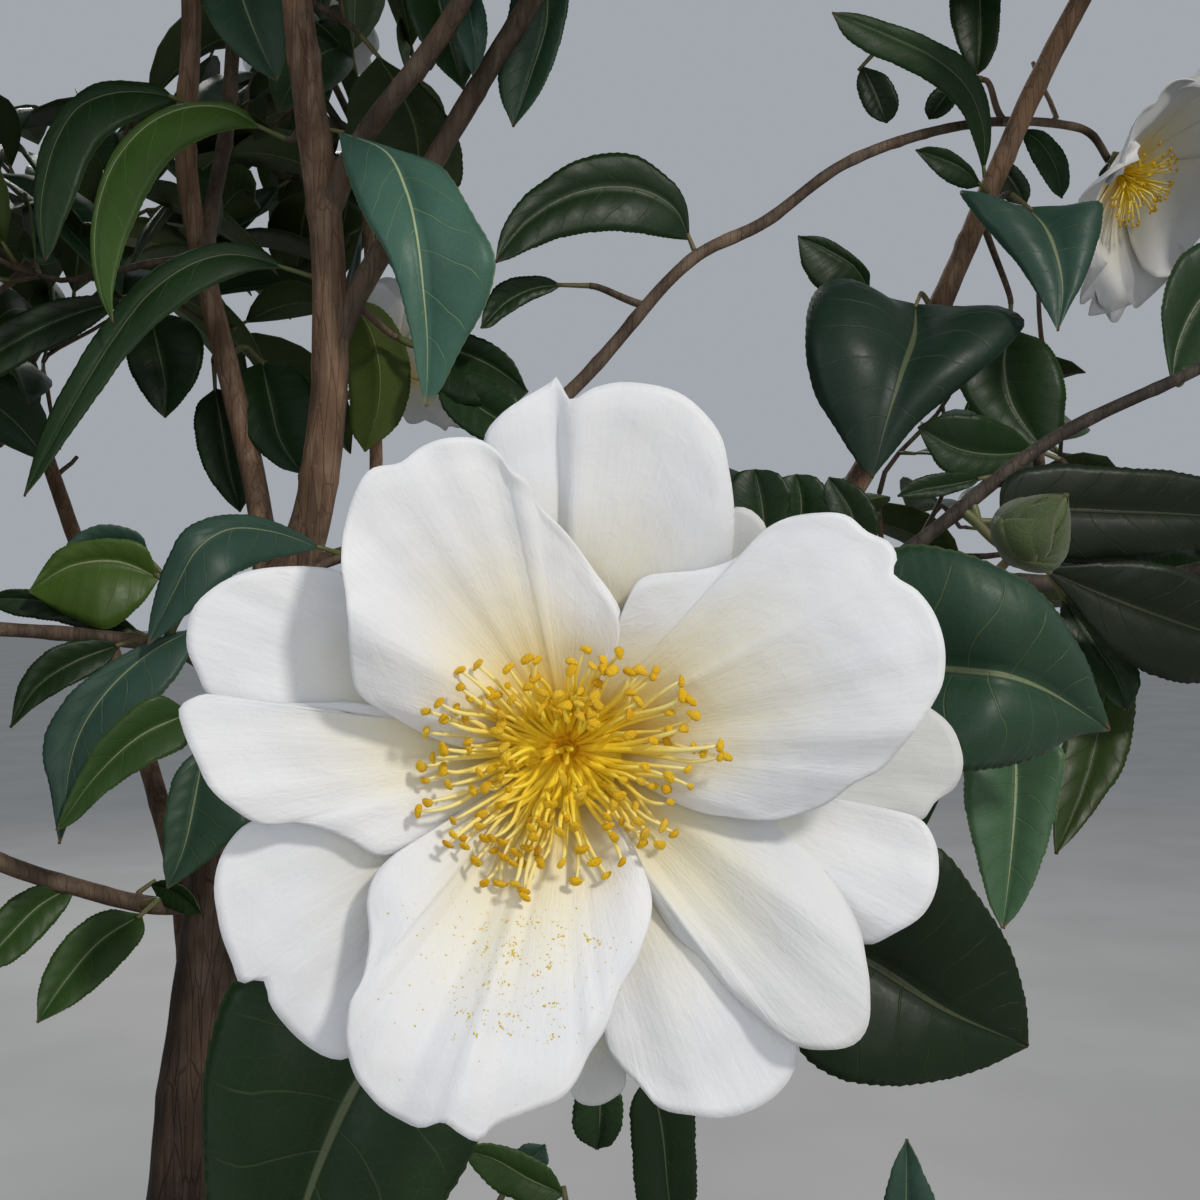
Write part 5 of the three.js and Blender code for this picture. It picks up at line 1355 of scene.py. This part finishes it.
        path = bezier(heart + np.array((0, -0.0040, 0)), heart + np.array((0, -0.009, 0)), tip + np.array((0, 0.003, 0)) * 0.9, tip, 10)
        v, q, _ = tube(path, np.linspace(0.0006, 0.00035, 10), 8)
        uv = np.zeros((len(v), 2))
        uv[:, 1] = 0.40
        filaments.add(v, q, uv=uv)


big_stamens()
filaments.build("stamen_filaments", [FILAMENT], "stamen")
anthers_soup.build("stamen_anthers", [ANTHER], "anther")


# pollen shed on the lowest petal
def pollen():
    soup = Soup()
    rnd = random.Random(5)
    g = petal_grids["petal_bottom"]
    tree = BVHTree.FromPolygons([Vector(p) for p in g.reshape(-1, 3)], [tuple(x) for x in grid_quads(g.shape[0], g.shape[1]).tolist()])
    eye = Vector(EYE)
    v0, f0 = anther_shape(5, 3)
    spots = []
    for k in range(44):   # little heaps
        cx, cy = rnd.gauss(525, 42), rnd.gauss(958, 34)
        if k % 4 == 0:
            cx, cy = rnd.gauss(485, 30), rnd.gauss(1005, 26)
        wide = rnd.uniform(1.2, 4.5)
        for _ in range(rnd.randint(2, 10)):
            spots.append((rnd.gauss(cx, wide), rnd.gauss(cy, wide * 1.3), rnd.uniform(0.8, 1.25)))
    for k in range(300):
        spots.append((rnd.gauss(520, 60), rnd.gauss(965, 52), rnd.uniform(0.5, 0.95)))
    for x, y, big in spots:
        target = Vector(at(x, y, 0.3))
        hit = tree.ray_cast(eye, (target - eye).normalized())
        if hit[0] is None:
            continue
        p = np.array(hit[0]) + np.array((0, -0.00006, 0))
        size = (0.00020 + 0.00032 * rnd.random() ** 2.0) * big
        m = turn_to(unit(np.array((rnd.gauss(0, 1), 0.1 * rnd.gauss(0, 1), rnd.gauss(0, 1)))), np.array((0, -1.0, 0.01)))
        soup.add((v0 * size * np.array((1, 1, 0.6))) @ m.T + p, f0, tint=(0.5, 0, rnd.uniform(0.5, 1.0)))
    soup.build("shed_pollen", [ANTHER], "anther")


pollen()


# ------------------------------------------------------------ other blooms
def petal_local(width, length, rows, cols, cup, seed, notch=0.12, curl=0.0):
    """A petal pointing along +X, its inner face towards +Z, in metres."""
    r = np.linspace(0, 1, rows)
    s = np.linspace(-1, 1, cols)
    rr, ss = np.meshgrid(r, s, indexing="ij")
    shape = np.interp(rr, [0, .1, .25, .45, .65, .82, .93, 1], [.16, .25, .45, .75, .97, 1.0, .93, .86])
    top = 1 - 0.30 * np.abs(ss) ** 2.6 - notch * np.exp(-(ss / 0.16) ** 2)
    x = rr * length * (1 + (top - 1) * rr ** 2)
    y = ss * shape * width
    bowl = cup * (rr ** 1.5) * length * 0.55
    side = (np.abs(ss) ** 2) * width * 0.22 * rr
    ruff = wobble(seed, cols, 3, 5.0)[None, :] * 0.0013 * rr ** 2.5
    back = -curl * length * smooth(0.72, 1.0, rr) * 0.16
    z = bowl + side + ruff + back
    fold = wobble(seed + 31, cols, 2, 16.0)[None, :] * 0.00022 * rr
    return np.stack([x, y, z + fold], axis=-1)


def add_bloom(name, place, face, radius, seed, cup=0.5, petals=8, stamens=60, grey=0.0, rows=15, cols=22):
    rnd = random.Random(seed)
    face = unit(face)
    side = unit(np.cross(face, (0.13, 0.31, 0.94)))
    up = np.cross(side, face)
    frame3 = np.stack([side, up, face], axis=1)
    place = np.asarray(place) / 1000.0
    soup = Soup()
    start = rnd.uniform(0, 6.28)
    for i in range(petals):
        inner = i % 2
        a = start + i * 2 * math.pi / petals + rnd.gauss(0, 0.07)
        length = radius * rnd.uniform(0.93, 1.03) * (0.97 if inner else 1.02)
        width = radius * rnd.uniform(0.42, 0.50)
        g = petal_local(width, length, rows, cols, cup * rnd.uniform(0.8, 1.15) + 0.06 * inner, seed * 10 + i, rnd.choice((0.02, 0.07, 0.13)), rnd.uniform(0, 1.0))
        ca, sa = math.cos(a), math.sin(a)
        tip = rnd.gauss(0, 0.06)
        x, y, z = g[..., 0], g[..., 1], g[..., 2] + (0.0012 if inner else 0) + tip * g[..., 0] * 0.3
        y = y * math.cos(0.10) - z * 0.10
        p = np.stack([x * ca - y * sa, x * sa + y * ca, z + 0.0015], axis=-1)
        w = p @ frame3.T + place
        nrm = grid_normals(w)
        r, s = np.meshgrid(np.linspace(0, 1, rows), np.linspace(0, 1, cols), indexing="ij")
        uv = np.stack([s, r], axis=-1)
        if (nrm[rows // 2, cols // 2] * face).sum() < 0:
            w = w[:, ::-1]
            uv = uv[:, ::-1]
        v, f, which = shell(w, 0.0004)
        soup.add(v, f, uv=np.concatenate([uv.reshape(-1, 2)] * 2), tint=(0.5, grey, 0.8))
    soup.build(name + "_petals", [PETAL], "petal", replaces=[name])
    for k in range(stamens):
        a = rnd.uniform(0, 2 * math.pi)
        share = rnd.betavariate(2.2, 1.4)
        rad = radius * 0.36 * (0.12 + 0.88 * share)
        high = radius * (0.36 - 0.14 * share) + rnd.gauss(0, 0.0008)
        tip = np.array((rad * math.cos(a), rad * math.sin(a), high))
        root = np.array((0.0022 * math.cos(a), 0.0022 * math.sin(a), 0.001))
        path = bezier(root, root + np.array((0, 0, 1)) * high * 0.45 + tip * 0.1, tip - np.array((math.cos(a), math.sin(a), 0.7)) * 0.003, tip, 5)
        w = path @ frame3.T + place
        v, q, _ = tube(w, np.linspace(0.0004, 0.00026, 5), 5)
        uv = np.zeros((len(v), 2))
        uv[:25, 1] = np.repeat(np.linspace(0, 1, 5), 5)
        other_filaments.add(v, q, uv=uv)
        spin = unit(np.array((rnd.gauss(0, 1), rnd.gauss(0, 1), rnd.gauss(0, 1))))
        m = turn_to(unit(np.cross(spin, face)), unit(w[-1] - w[-2]))
        other_anthers.add((ANTHER_SMALL[0] * rnd.uniform(0.0018, 0.0024)) @ m.T + w[-1], ANTHER_SMALL[1], tint=(0.5, 0, max(0, rnd.gauss(0.15, 0.15))))
    add_calyx(place, face, 0.0075 * radius / 0.05)
    return place, face


def add_calyx(place, face, size):
    """Green scales under a bloom."""
    face = unit(face)
    side = unit(np.cross(face, (0.13, 0.31, 0.94)))
    up = np.cross(side, face)
    frame3 = np.stack([side, up, face], axis=1)
    for ring, (count, r, lift, back) in enumerate(((5, 1.0, 0.25, -0.16), (4, 0.7, 0.0, -0.42))):
        for k in range(count):
            a = 2 * math.pi * k / count + ring * 0.6
            g = petal_local(size * 0.62 * r, size * 1.15 * r, 7, 7, 0.28, 7 * k + ring, notch=-0.05)
            ca, sa = math.cos(a), math.sin(a)
            x, y, z = g[..., 0], g[..., 1], g[..., 2]
            p = np.stack([x * ca - y * sa, x * sa + y * ca, z * 0.8 + back * size], axis=-1)
            w = p @ frame3.T + place
            nrm = grid_normals(w)
            rr, ss = np.meshgrid(np.linspace(0, 1, 7), np.linspace(0, 1, 7), indexing="ij")
            uv = np.stack([ss, rr], axis=-1)
            if (nrm[3, 3] * face).sum() < 0:
                w = w[:, ::-1]
                uv = uv[:, ::-1]
            v, f, which = shell(w, 0.0006)
            scales.add(v, f, uv=np.concatenate([uv.reshape(-1, 2)] * 2))


other_filaments, other_anthers, scales = Soup(), Soup(), Soup()
BLOOMS = {
    "bloom_right": ((345, 88.5, 782), (0.62, -0.56, -0.55), 55, 0.86),
    "bloom_behind": ((70, 92, 706), (0.35, 0.55, 0.75), 38, 0.6),
    "bloom_front_left": ((-128, -238, 700), (-0.35, -0.9, 0.25), 44, 0.45),
    "bloom_left": ((-300, -10, 770), (-0.93, -0.25, 0.26), 44, 0.6),
    "bloom_rear": ((-10, 306, 930), (-0.2, 0.93, 0.3), 44, 0.5),
    "bloom_rear_right": ((272, 230, 606), (-0.15, 0.95, -0.15), 44, 0.45),
    "bloom_top_front": ((196, -176, 1000), (0.35, -0.85, 0.4), 44, 0.7),
    "bloom_right_upper": ((424, 40, 930), (0.9, -0.3, 0.3), 44, 0.5),
    "bloom_top": ((42, -52, 1286), (-0.3, -0.7, 0.65), 44, 0.6),
}
bloom_feet = {}
for k, (name, (place, face, radius, cup)) in enumerate(BLOOMS.items()):
    near = name == "bloom_right"
    bloom_feet[name] = add_bloom(name, place, face, radius / 1000.0, 60 + k, cup, petals=7 + (k % 3), stamens=72 if near else 60,
                                 rows=18 if near else 15, cols=26 if near else 22)
add_calyx(np.array((0.1434, -0.2245, 0.5968)), np.array((0.02, -1, 0.04)), 0.0085)
bloom_feet["bloom_front"] = (np.array((0.1434, -0.2225, 0.5968)), np.array((0.02, -1, 0.04)))


# --------------------------------------------------------------------- bud
def add_bud(place, direction, length, width, seed, plump=1.0, fine=True):
    """A bud of overlapping pointed scales."""
    d = unit(direction)
    side = unit(np.cross(d, (0.31, 0.13, 0.94)))
    up = np.cross(side, d)
    rnd = random.Random(seed)
    core = []
    high, sides = (12, 14) if fine else (6, 7)
    t = np.linspace(0.02, 0.995, high)
    a = np.arange(sides) / sides * 2 * math.pi
    rad = width / 2 * np.sin(math.pi * t ** 0.72) ** 0.8 * plump
    for ti, ri in zip(t, rad):
        core.append(place + d * ti * length + (np.cos(a)[:, None] * side + np.sin(a)[:, None] * up) * ri * 0.9)
    g = np.array(core)
    v = np.vstack([g.reshape(-1, 3), g[0].mean(axis=0), g[-1].mean(axis=0)])
    q = grid_quads(high, sides, 0, wrap=True)
    n = high * sides
    low = [(n, (j + 1) % sides, j, -1) for j in range(sides)]
    top = [(n + 1, n - sides + j, n - sides + (j + 1) % sides, -1) for j in range(sides)]
    uv = np.zeros((len(v), 2))
    uv[:n, 1] = np.repeat(t, sides)
    scales.add(v, np.vstack([q, low, top]), uv=uv)
    for layer in range(4) if fine else (1, 3):
        count = (3, 4, 5, 4)[layer] if fine else 3
        from_t, to_t = ((0.0, 0.42), (0.06, 0.66), (0.16, 0.88), (0.30, 1.03))[layer]
        grow = (1.10, 1.06, 1.03, 0.99)[layer]
        for k in range(count):
            mid_a = 2 * math.pi * k / count + layer * 0.8 + rnd.gauss(0, 0.08)
            rows, cols = (10, 9) if fine else (5, 4)
            g = np.empty((rows, cols, 3))
            uvg = np.empty((rows, cols, 2))
            for i in range(rows):
                f = i / (rows - 1)
                ti = from_t + (to_t - from_t) * f
                wide = (1 - f ** 2.4) * 0.95 * (2 * math.pi / count) * 0.62 + 0.02
                ri = width / 2 * math.sin(math.pi * min(max(ti, 0.02), 0.995) ** 0.72) ** 0.8 * plump * grow
                for j in range(cols):
                    aa = mid_a + wide * (2 * j / (cols - 1) - 1)
                    edge = abs(2 * j / (cols - 1) - 1)
                    rj = ri * (1 - 0.05 * edge ** 2) + 0.0002 * math.sin(f * 3.1)
                    g[i, j] = place + d * ti * length + (math.cos(aa) * side + math.sin(aa) * up) * rj
                    uvg[i, j] = (j / (cols - 1), f)
            nrm = grid_normals(g)
            outv = g[rows // 2, cols // 2] - (place + d * length * 0.4)
            if (nrm[rows // 2, cols // 2] * outv).sum() < 0:
                g, uvg = g[:, ::-1], uvg[:, ::-1]
            v, f, which = shell(g, 0.0004)
            scales.add(v, f, uv=np.concatenate([uvg.reshape(-1, 2)] * 2))


BUD_FOOT = at(1008, 560, .290)
add_bud(BUD_FOOT, at(1062, 500, .282) - BUD_FOOT, 0.0175, 0.0150, 4, 1.0)
add_stalk(BUD_FOOT, unit(BUD_FOOT - at(1062, 500, .282)), None, 0.004, 0.0012)

# -------------------------------------------------- the crown's branching
leaves_a, leaves_b, leaves_c = Soup(), Soup(), Soup()
KEEP_CLEAR = [  # frame regions (x0, y0, x1, y1) that stay free of generated growth: gaps, and leaves placed one by one
    (470, -60, 980, 372), (-60, -60, 175, 85), (80, 325, 200, 520), (955, 790, 1260, 1260), (-60, 870, 230, 1260),
    (1095, 325, 1260, 465), (470, 1142, 980, 1260), (700, 370, 900, 480), (440, 330, 560, 380), (-60, 470, 60, 560), (1060, 680, 1260, 1260),
    (1052, 40, 1260, 330),
]
BLOOM_POLY = np.array([(215, 600), (360, 490), (480, 455), (560, 410), (700, 430), (740, 560), (860, 550), (925, 650), (900, 720), (935, 770), (900, 890),
                       (850, 1000), (700, 1090), (560, 1080), (480, 1110), (380, 1070), (360, 1000), (250, 950), (235, 860), (215, 720)], float)


def in_poly(x, y, poly):
    x0, y0 = poly[:, 0], poly[:, 1]
    x1, y1 = np.roll(x0, -1), np.roll(y0, -1)
    c = ((y0 > y) != (y1 > y)) & (x < (x1 - x0) * (y - y0) / (y1 - y0 + 1e-12) + x0)
    return int(c.sum()) % 2 == 1


GROWTH_ROOM = (np.array(cad_lo) - 0.006 - 0.022 * (np.array(cad_hi) - np.array(cad_lo)), np.array(cad_hi) + 0.006 + 0.022 * (np.array(cad_hi) - np.array(cad_lo)))


def allowed(points, thin=False):
    """Whether generated growth may stand there: near the solids, and as the viewpoint sees it."""
    if (np.asarray(points) < GROWTH_ROOM[0]).any() or (np.asarray(points) > GROWTH_ROOM[1]).any():
        return False
    x, y, d = seen(np.asarray(points))
    for xi, yi, di in zip(np.atleast_1d(x), np.atleast_1d(y), np.atleast_1d(d)):
        if di < 0.02:
            continue
        if -30 < xi < 1230 and -30 < yi < 1230:
            if in_poly(xi, yi, BLOOM_POLY):
                if di < 0.27:
                    return False
                continue
            if di < 0.49:
                return False
            if any(a < xi < c and b < yi < e for a, b, c, e in KEEP_CLEAR):
                return False
    return True


BLOOM_ROOM = [(np.asarray(place) / 1000.0, unit(face), radius / 1000.0)
              for name, (place, face, radius, cup) in BLOOMS.items() if name not in ("bloom_right", "bloom_behind")]


def in_bloom(points):
    """Whether a point stands in the bowl of a bloom or close in front of it."""
    p = np.asarray(points).reshape(-1, 3)
    for place, face, radius in BLOOM_ROOM:
        gap = p - place
        high = gap @ face
        side = np.linalg.norm(gap - high[:, None] * face, axis=1)
        if ((side < radius * 0.98) & (high > -0.005) & (high < 0.045)).any():
            return True
    return False


def free_leaf(soup, base, direction, up, length, width, droop, fold, tint, seed, rows=10, across=2):
    d = unit(direction)
    upn = unit(np.asarray(up) - d * np.dot(up, d))
    fall = np.array((0, 0, -1.0))
    p1 = base + d * length * 0.34 + upn * length * 0.03
    p2 = base + d * length * 0.70 + fall * droop * length * 0.12
    p3 = base + d * length * (1.0 - 0.14 * droop) + fall * droop * length * 0.42
    mid = bezier(base, p1, p2, p3, rows)
    tan = unit(np.gradient(mid, axis=0))
    nrm = unit(upn[None, :] - tan * (tan * upn).sum(axis=1, keepdims=True))
    side = np.cross(tan, nrm)
    w = outline(np.linspace(0.0, 1.0, rows)) * width / 2
    cf, sf = math.cos(fold), math.sin(fold)
    left = mid - side * (w * cf)[:, None] + nrm * (w * sf)[:, None]
    right = mid + side * (w * cf)[:, None] + nrm * (w * sf)[:, None]
    check = np.vstack([mid[[0, rows // 2, rows - 1]], left[rows // 2], right[rows // 2]])
    if not allowed(check) or in_bloom(np.vstack([mid, left, right])):
        return False
    blade(soup, mid, left, right, nrm, across, 0.00045, tint, camber=0.12, seed=seed, wave=0.0008)
    return True


def mass_volume_points(name, count, spacing, rnd, depth_in):
    lo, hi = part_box(name)
    lo, hi = np.array(lo), np.array(hi)
    points = []
    tries = 0
    while len(points) < count and tries < count * 60:
        tries += 1
        p = lo + (hi - lo) * np.array((rnd.random(), rnd.random(), rnd.random()))
        ok, far = inside(name, p)
        if not ok or far < depth_in:
            continue
        if any(np.linalg.norm(p - q) < spacing for q in points):
            continue
        if not allowed([p]):
            continue
        points.append(p)
    return points


leaf_count = 0
vegetative = []


def grow_mass(name, start_nodes, seed, tone):
    """Twigs reach from the bough's end to spread-out tips in the mass, and carry alternate leaves."""
    global leaf_count
    rnd = random.Random(seed)
    lo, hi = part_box(name)
    size = np.array(hi) - np.array(lo)
    volume = size.prod() * 0.5
    tips = mass_volume_points(name, max(5, int(volume / 0.000195)), 0.037, rnd, 0.014)
    nodes = [(np.asarray(p), np.asarray(d), 0) for p, d in start_nodes]
    origin = nodes[0][0]
    tips.sort(key=lambda p: np.linalg.norm(p - origin))
    segs = []
    for tip in tips:
        best, cost = None, 1e9
        for i, (p, d, depth) in enumerate(nodes):
            gap = tip - p
            far = np.linalg.norm(gap)
            if far < 0.004:
                continue
            c = far * (1.25 - 0.35 * gap.dot(d) / far) + 0.004 * depth
            if c < cost:
                best, cost = i, c
        p, d, depth = nodes[best]
        far = np.linalg.norm(tip - p)
        c1 = p + d * far * 0.32
        c2 = tip - unit((tip - p) + np.array((0, 0, 0.5 * far))) * far * 0.3
        n = max(5, int(far / 0.007))
        path = bezier(p, c1, c2, tip, n)
        segs.append([best, path, depth])
        tan = unit(np.gradient(path, axis=0))
        here = len(nodes)
        for i in range(1, n):
            if i % 2 == 0 or i == n - 1:
                nodes.append((path[i], tan[i], depth + 1))
        segs[-1].append((here, len(nodes)))
    # thickness from what each twig carries
    load = np.ones(len(segs))
    owner = {}
    for k, s in enumerate(segs):
        for i in range(*s[3]):
            owner[i] = k
    for k in range(len(segs) - 1, -1, -1):
        parent = owner.get(segs[k][0])
        if parent is not None:
            load[parent] += load[k]
    for k, (src, path, depth, _) in enumerate(segs):
        if not allowed(path[len(path) // 2:len(path) // 2 + 1]):
            continue
        r0 = 0.00095 * load[k] ** 0.38 + 0.0002
        r1 = 0.00085
        bark = rnd.uniform(0.35, 0.62)
        room = load[k] > 1.5 or not in_bloom(path[len(path) // 3:])
        if room:
            twigs.add(*tube(path, np.linspace(r0, r1, len(path)), 6)[:2], tint=(bark, 0, 0))
        length = np.linalg.norm(np.diff(path, axis=0), axis=1).sum()
        tan = unit(np.gradient(path, axis=0))
        spin = rnd.uniform(0, 6.28)
        count = max(1, int(length * (0.75 if load[k] < 2 else 0.45) / 0.0155))
        spots = list(np.linspace(1.0, 0.30 if load[k] < 2 else 0.55, count + 2))
        shade = rnd.gauss(0, 0.05)
        sun = rnd.random()
        for j, f in enumerate(spots):
            i = min(len(path) - 1, int(round(f * (len(path) - 1))))
            t = tan[i]
            side = unit(np.cross(t, (0.2, 0.1, 0.97)))
            other = np.cross(side, t)
            spin += 2.4
            rad = side * math.cos(spin) + other * math.sin(spin)
            ok, far = inside(name, path[i])
            lo_c = (np.array(lo) + np.array(hi)) / 2
            outward = unit(path[i] - lo_c)
            lean = 0.75 if j == 0 else 0.45
            d = unit(t * lean + rad * 0.85 + outward * 0.35 + np.array((0, 0, -0.05)))
            length_l = rnd.uniform(0.058, 0.086) * (0.8 if j == 0 else 1.0)
            width = length_l * rnd.uniform(0.40, 0.49)
            stalk = 0.007
            base = path[i] + d * stalk
            up = unit(np.array((0, 0, 1.0)) * 0.9 + outward * 0.55 + rad * 0.2 + np.array((rnd.gauss(0, .25), rnd.gauss(0, .25), 0)))
            yellow = 0.0
            if j == 0 and rnd.random() < 0.12:
                yellow = rnd.uniform(0.3, 0.7)
            tint = (min(0.9, max(0.2, 0.44 + tone + shade + rnd.gauss(0, 0.06))), max(0, min(1, rnd.gauss(0.3, 0.22))), max(0.0, yellow + rnd.gauss(0.08, 0.07)))
            soup = (leaves_a, leaves_b, leaves_c)[leaf_count % 3]
            droop, fold, pick = rnd.uniform(0.35, 1.15), rnd.uniform(0.12, 0.5), rnd.randrange(10 ** 6)
            if room and free_leaf(soup, base, d, up, length_l, width, droop, fold, tint, pick):
                leaf_count += 1
                stalks.add(*tube(bezier(path[i], path[i] + d * stalk * 0.3, base - d * stalk * 0.2, base + d * 0.0015, 3), np.linspace(0.00105, 0.0007, 3), 5)[:2])
        if load[k] < 2 and allowed([path[-1]]):
            pick = rnd.random()
            vegetative.append((path[-1], tan[-1], pick if room else 1.0))


def near_nodes(name):
    """Points of the finished limbs inside or close to a mass, to start twigs from."""
    out = []
    lo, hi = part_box(name)
    lo, hi = np.array(lo) - 0.03, np.array(hi) + 0.03
    for k in range(0, len(anchors), 4):
        p = anchors[k]
        if anchor_names[k] == "twig" or (p < lo).any() or (p > hi).any():
            continue
        ok, far = inside(name, p)
        if ok or far < 0.03:
            out.append((p, anchor_dirs[k]))
    return out


for k, name in enumerate(sorted(mass_trees)):
    starts = near_nodes(name)
    for bough, mass in INTO.items():
        if mass == name:
            starts.insert(0, limb_ends[bough])
    if not starts:
        i = int(np.argmin([np.linalg.norm(a - (np.array(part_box(name)[0]) + np.array(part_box(name)[1])) / 2) for a in anchors]))
        starts = [(anchors[i], anchor_dirs[i])]
    grow_mass(name, starts, 500 + k, 0.0)

# a stalk to each bloom but the front and right ones, from the nearest twig
twig_points = np.array(anchors)
for name, (foot, face) in bloom_feet.items():
    if name in ("bloom_front", "bloom_right"):
        continue
    add_stalk(foot, -unit(face), None, 0.006, 0.0013)

rnd = random.Random(9)
for p, t, pick in vegetative[::2]:
    if pick < 0.16:
        add_bud(p, unit(t + np.array((0, 0, 0.3))), 0.013, 0.0095, int(pick * 1e5), fine=False)
    elif pick < 0.55:
        add_bud(p, t, 0.0085, 0.0032, int(pick * 1e5), fine=False)

twigs.build("twigs", [BARK_TWIG], "twig_bark")
stalks.build("leaf_stalks", [STALK], "petiole")
scales.build("bud_scales", [SCALE], "bud_scale")
other_filaments.build("other_filaments", [FILAMENT], "stamen")
other_anthers.build("other_anthers", [ANTHER], "anther")
masses = sorted(mass_trees)
leaves_a.build("leaves_first", [LEAF_TOP, LEAF_UNDER], "leaf", replaces=masses)
leaves_b.build("leaves_second", [LEAF_TOP, LEAF_UNDER], "leaf", replaces=masses)
leaves_c.build("leaves_third", [LEAF_TOP, LEAF_UNDER], "leaf", replaces=masses)
print("leaves", leaf_count, "anchors", len(anchors))
for o in scene.objects:
    if o.type == "MESH" and len(o.data.polygons) > 30000:
        print(o.name, len(o.data.polygons))

# ---------------------------------------------------------- floor and light
def floor():
    n = 48
    ang = np.arange(n) / n * 2 * math.pi
    rings = [0.001, 0.5, 1, 2, 4, 8, 16, 30]
    pts = np.array([[(r * math.cos(a), r * math.sin(a), 0.0) for a in ang] for r in rings])
    mesh = bpy.data.meshes.new("floor")
    mesh.from_pydata(pts.reshape(-1, 3).tolist(), [], grid_quads(len(rings), n, 0, wrap=True).tolist())
    m = Nodes("floor_matt")
    cloud = m.noise(3, 2, 0.6)
    mesh.materials.append(m.finish(m.mix(m.step(cloud, 0.3, 0.7), (0.39, 0.385, 0.375), (0.43, 0.425, 0.415)), 0.85, m.bump(cloud, 0.0004)))
    o = bpy.data.objects.new("floor", mesh)
    scene.collection.objects.link(o)


floor()
world = bpy.data.worlds.new("studio")
scene.world = world
world.use_nodes = True
world.node_tree.nodes["Background"].inputs["Color"].default_value = (0.86, 0.92, 1.0, 1)
world.node_tree.nodes["Background"].inputs["Strength"].default_value = 0.42


def area(name, place, target, size, power, colour):
    data = bpy.data.lights.new(name, "AREA")
    data.shape = "DISK"
    data.size = size
    data.energy = power
    data.color = colour
    o = bpy.data.objects.new(name, data)
    scene.collection.objects.link(o)
    o.location = place
    o.rotation_euler = (Vector(target) - Vector(place)).to_track_quat("-Z", "Y").to_euler()


area("key", (2.0, -2.5, 2.7), (0.1, -0.1, 0.7), 0.42, 61, (1.0, 0.955, 0.88))
area("front", (0.7, -2.3, 0.75), (0.16, -0.1, 0.62), 1.3, 5.8, (1.0, 0.98, 0.95))
area("fill", (-2.6, -1.8, 1.6), (0.1, 0, 0.7), 1.8, 13, (0.90, 0.95, 1.0))
area("back", (-0.9, 2.6, 2.4), (0.1, 0, 0.8), 1.4, 34, (1.0, 0.98, 0.94))
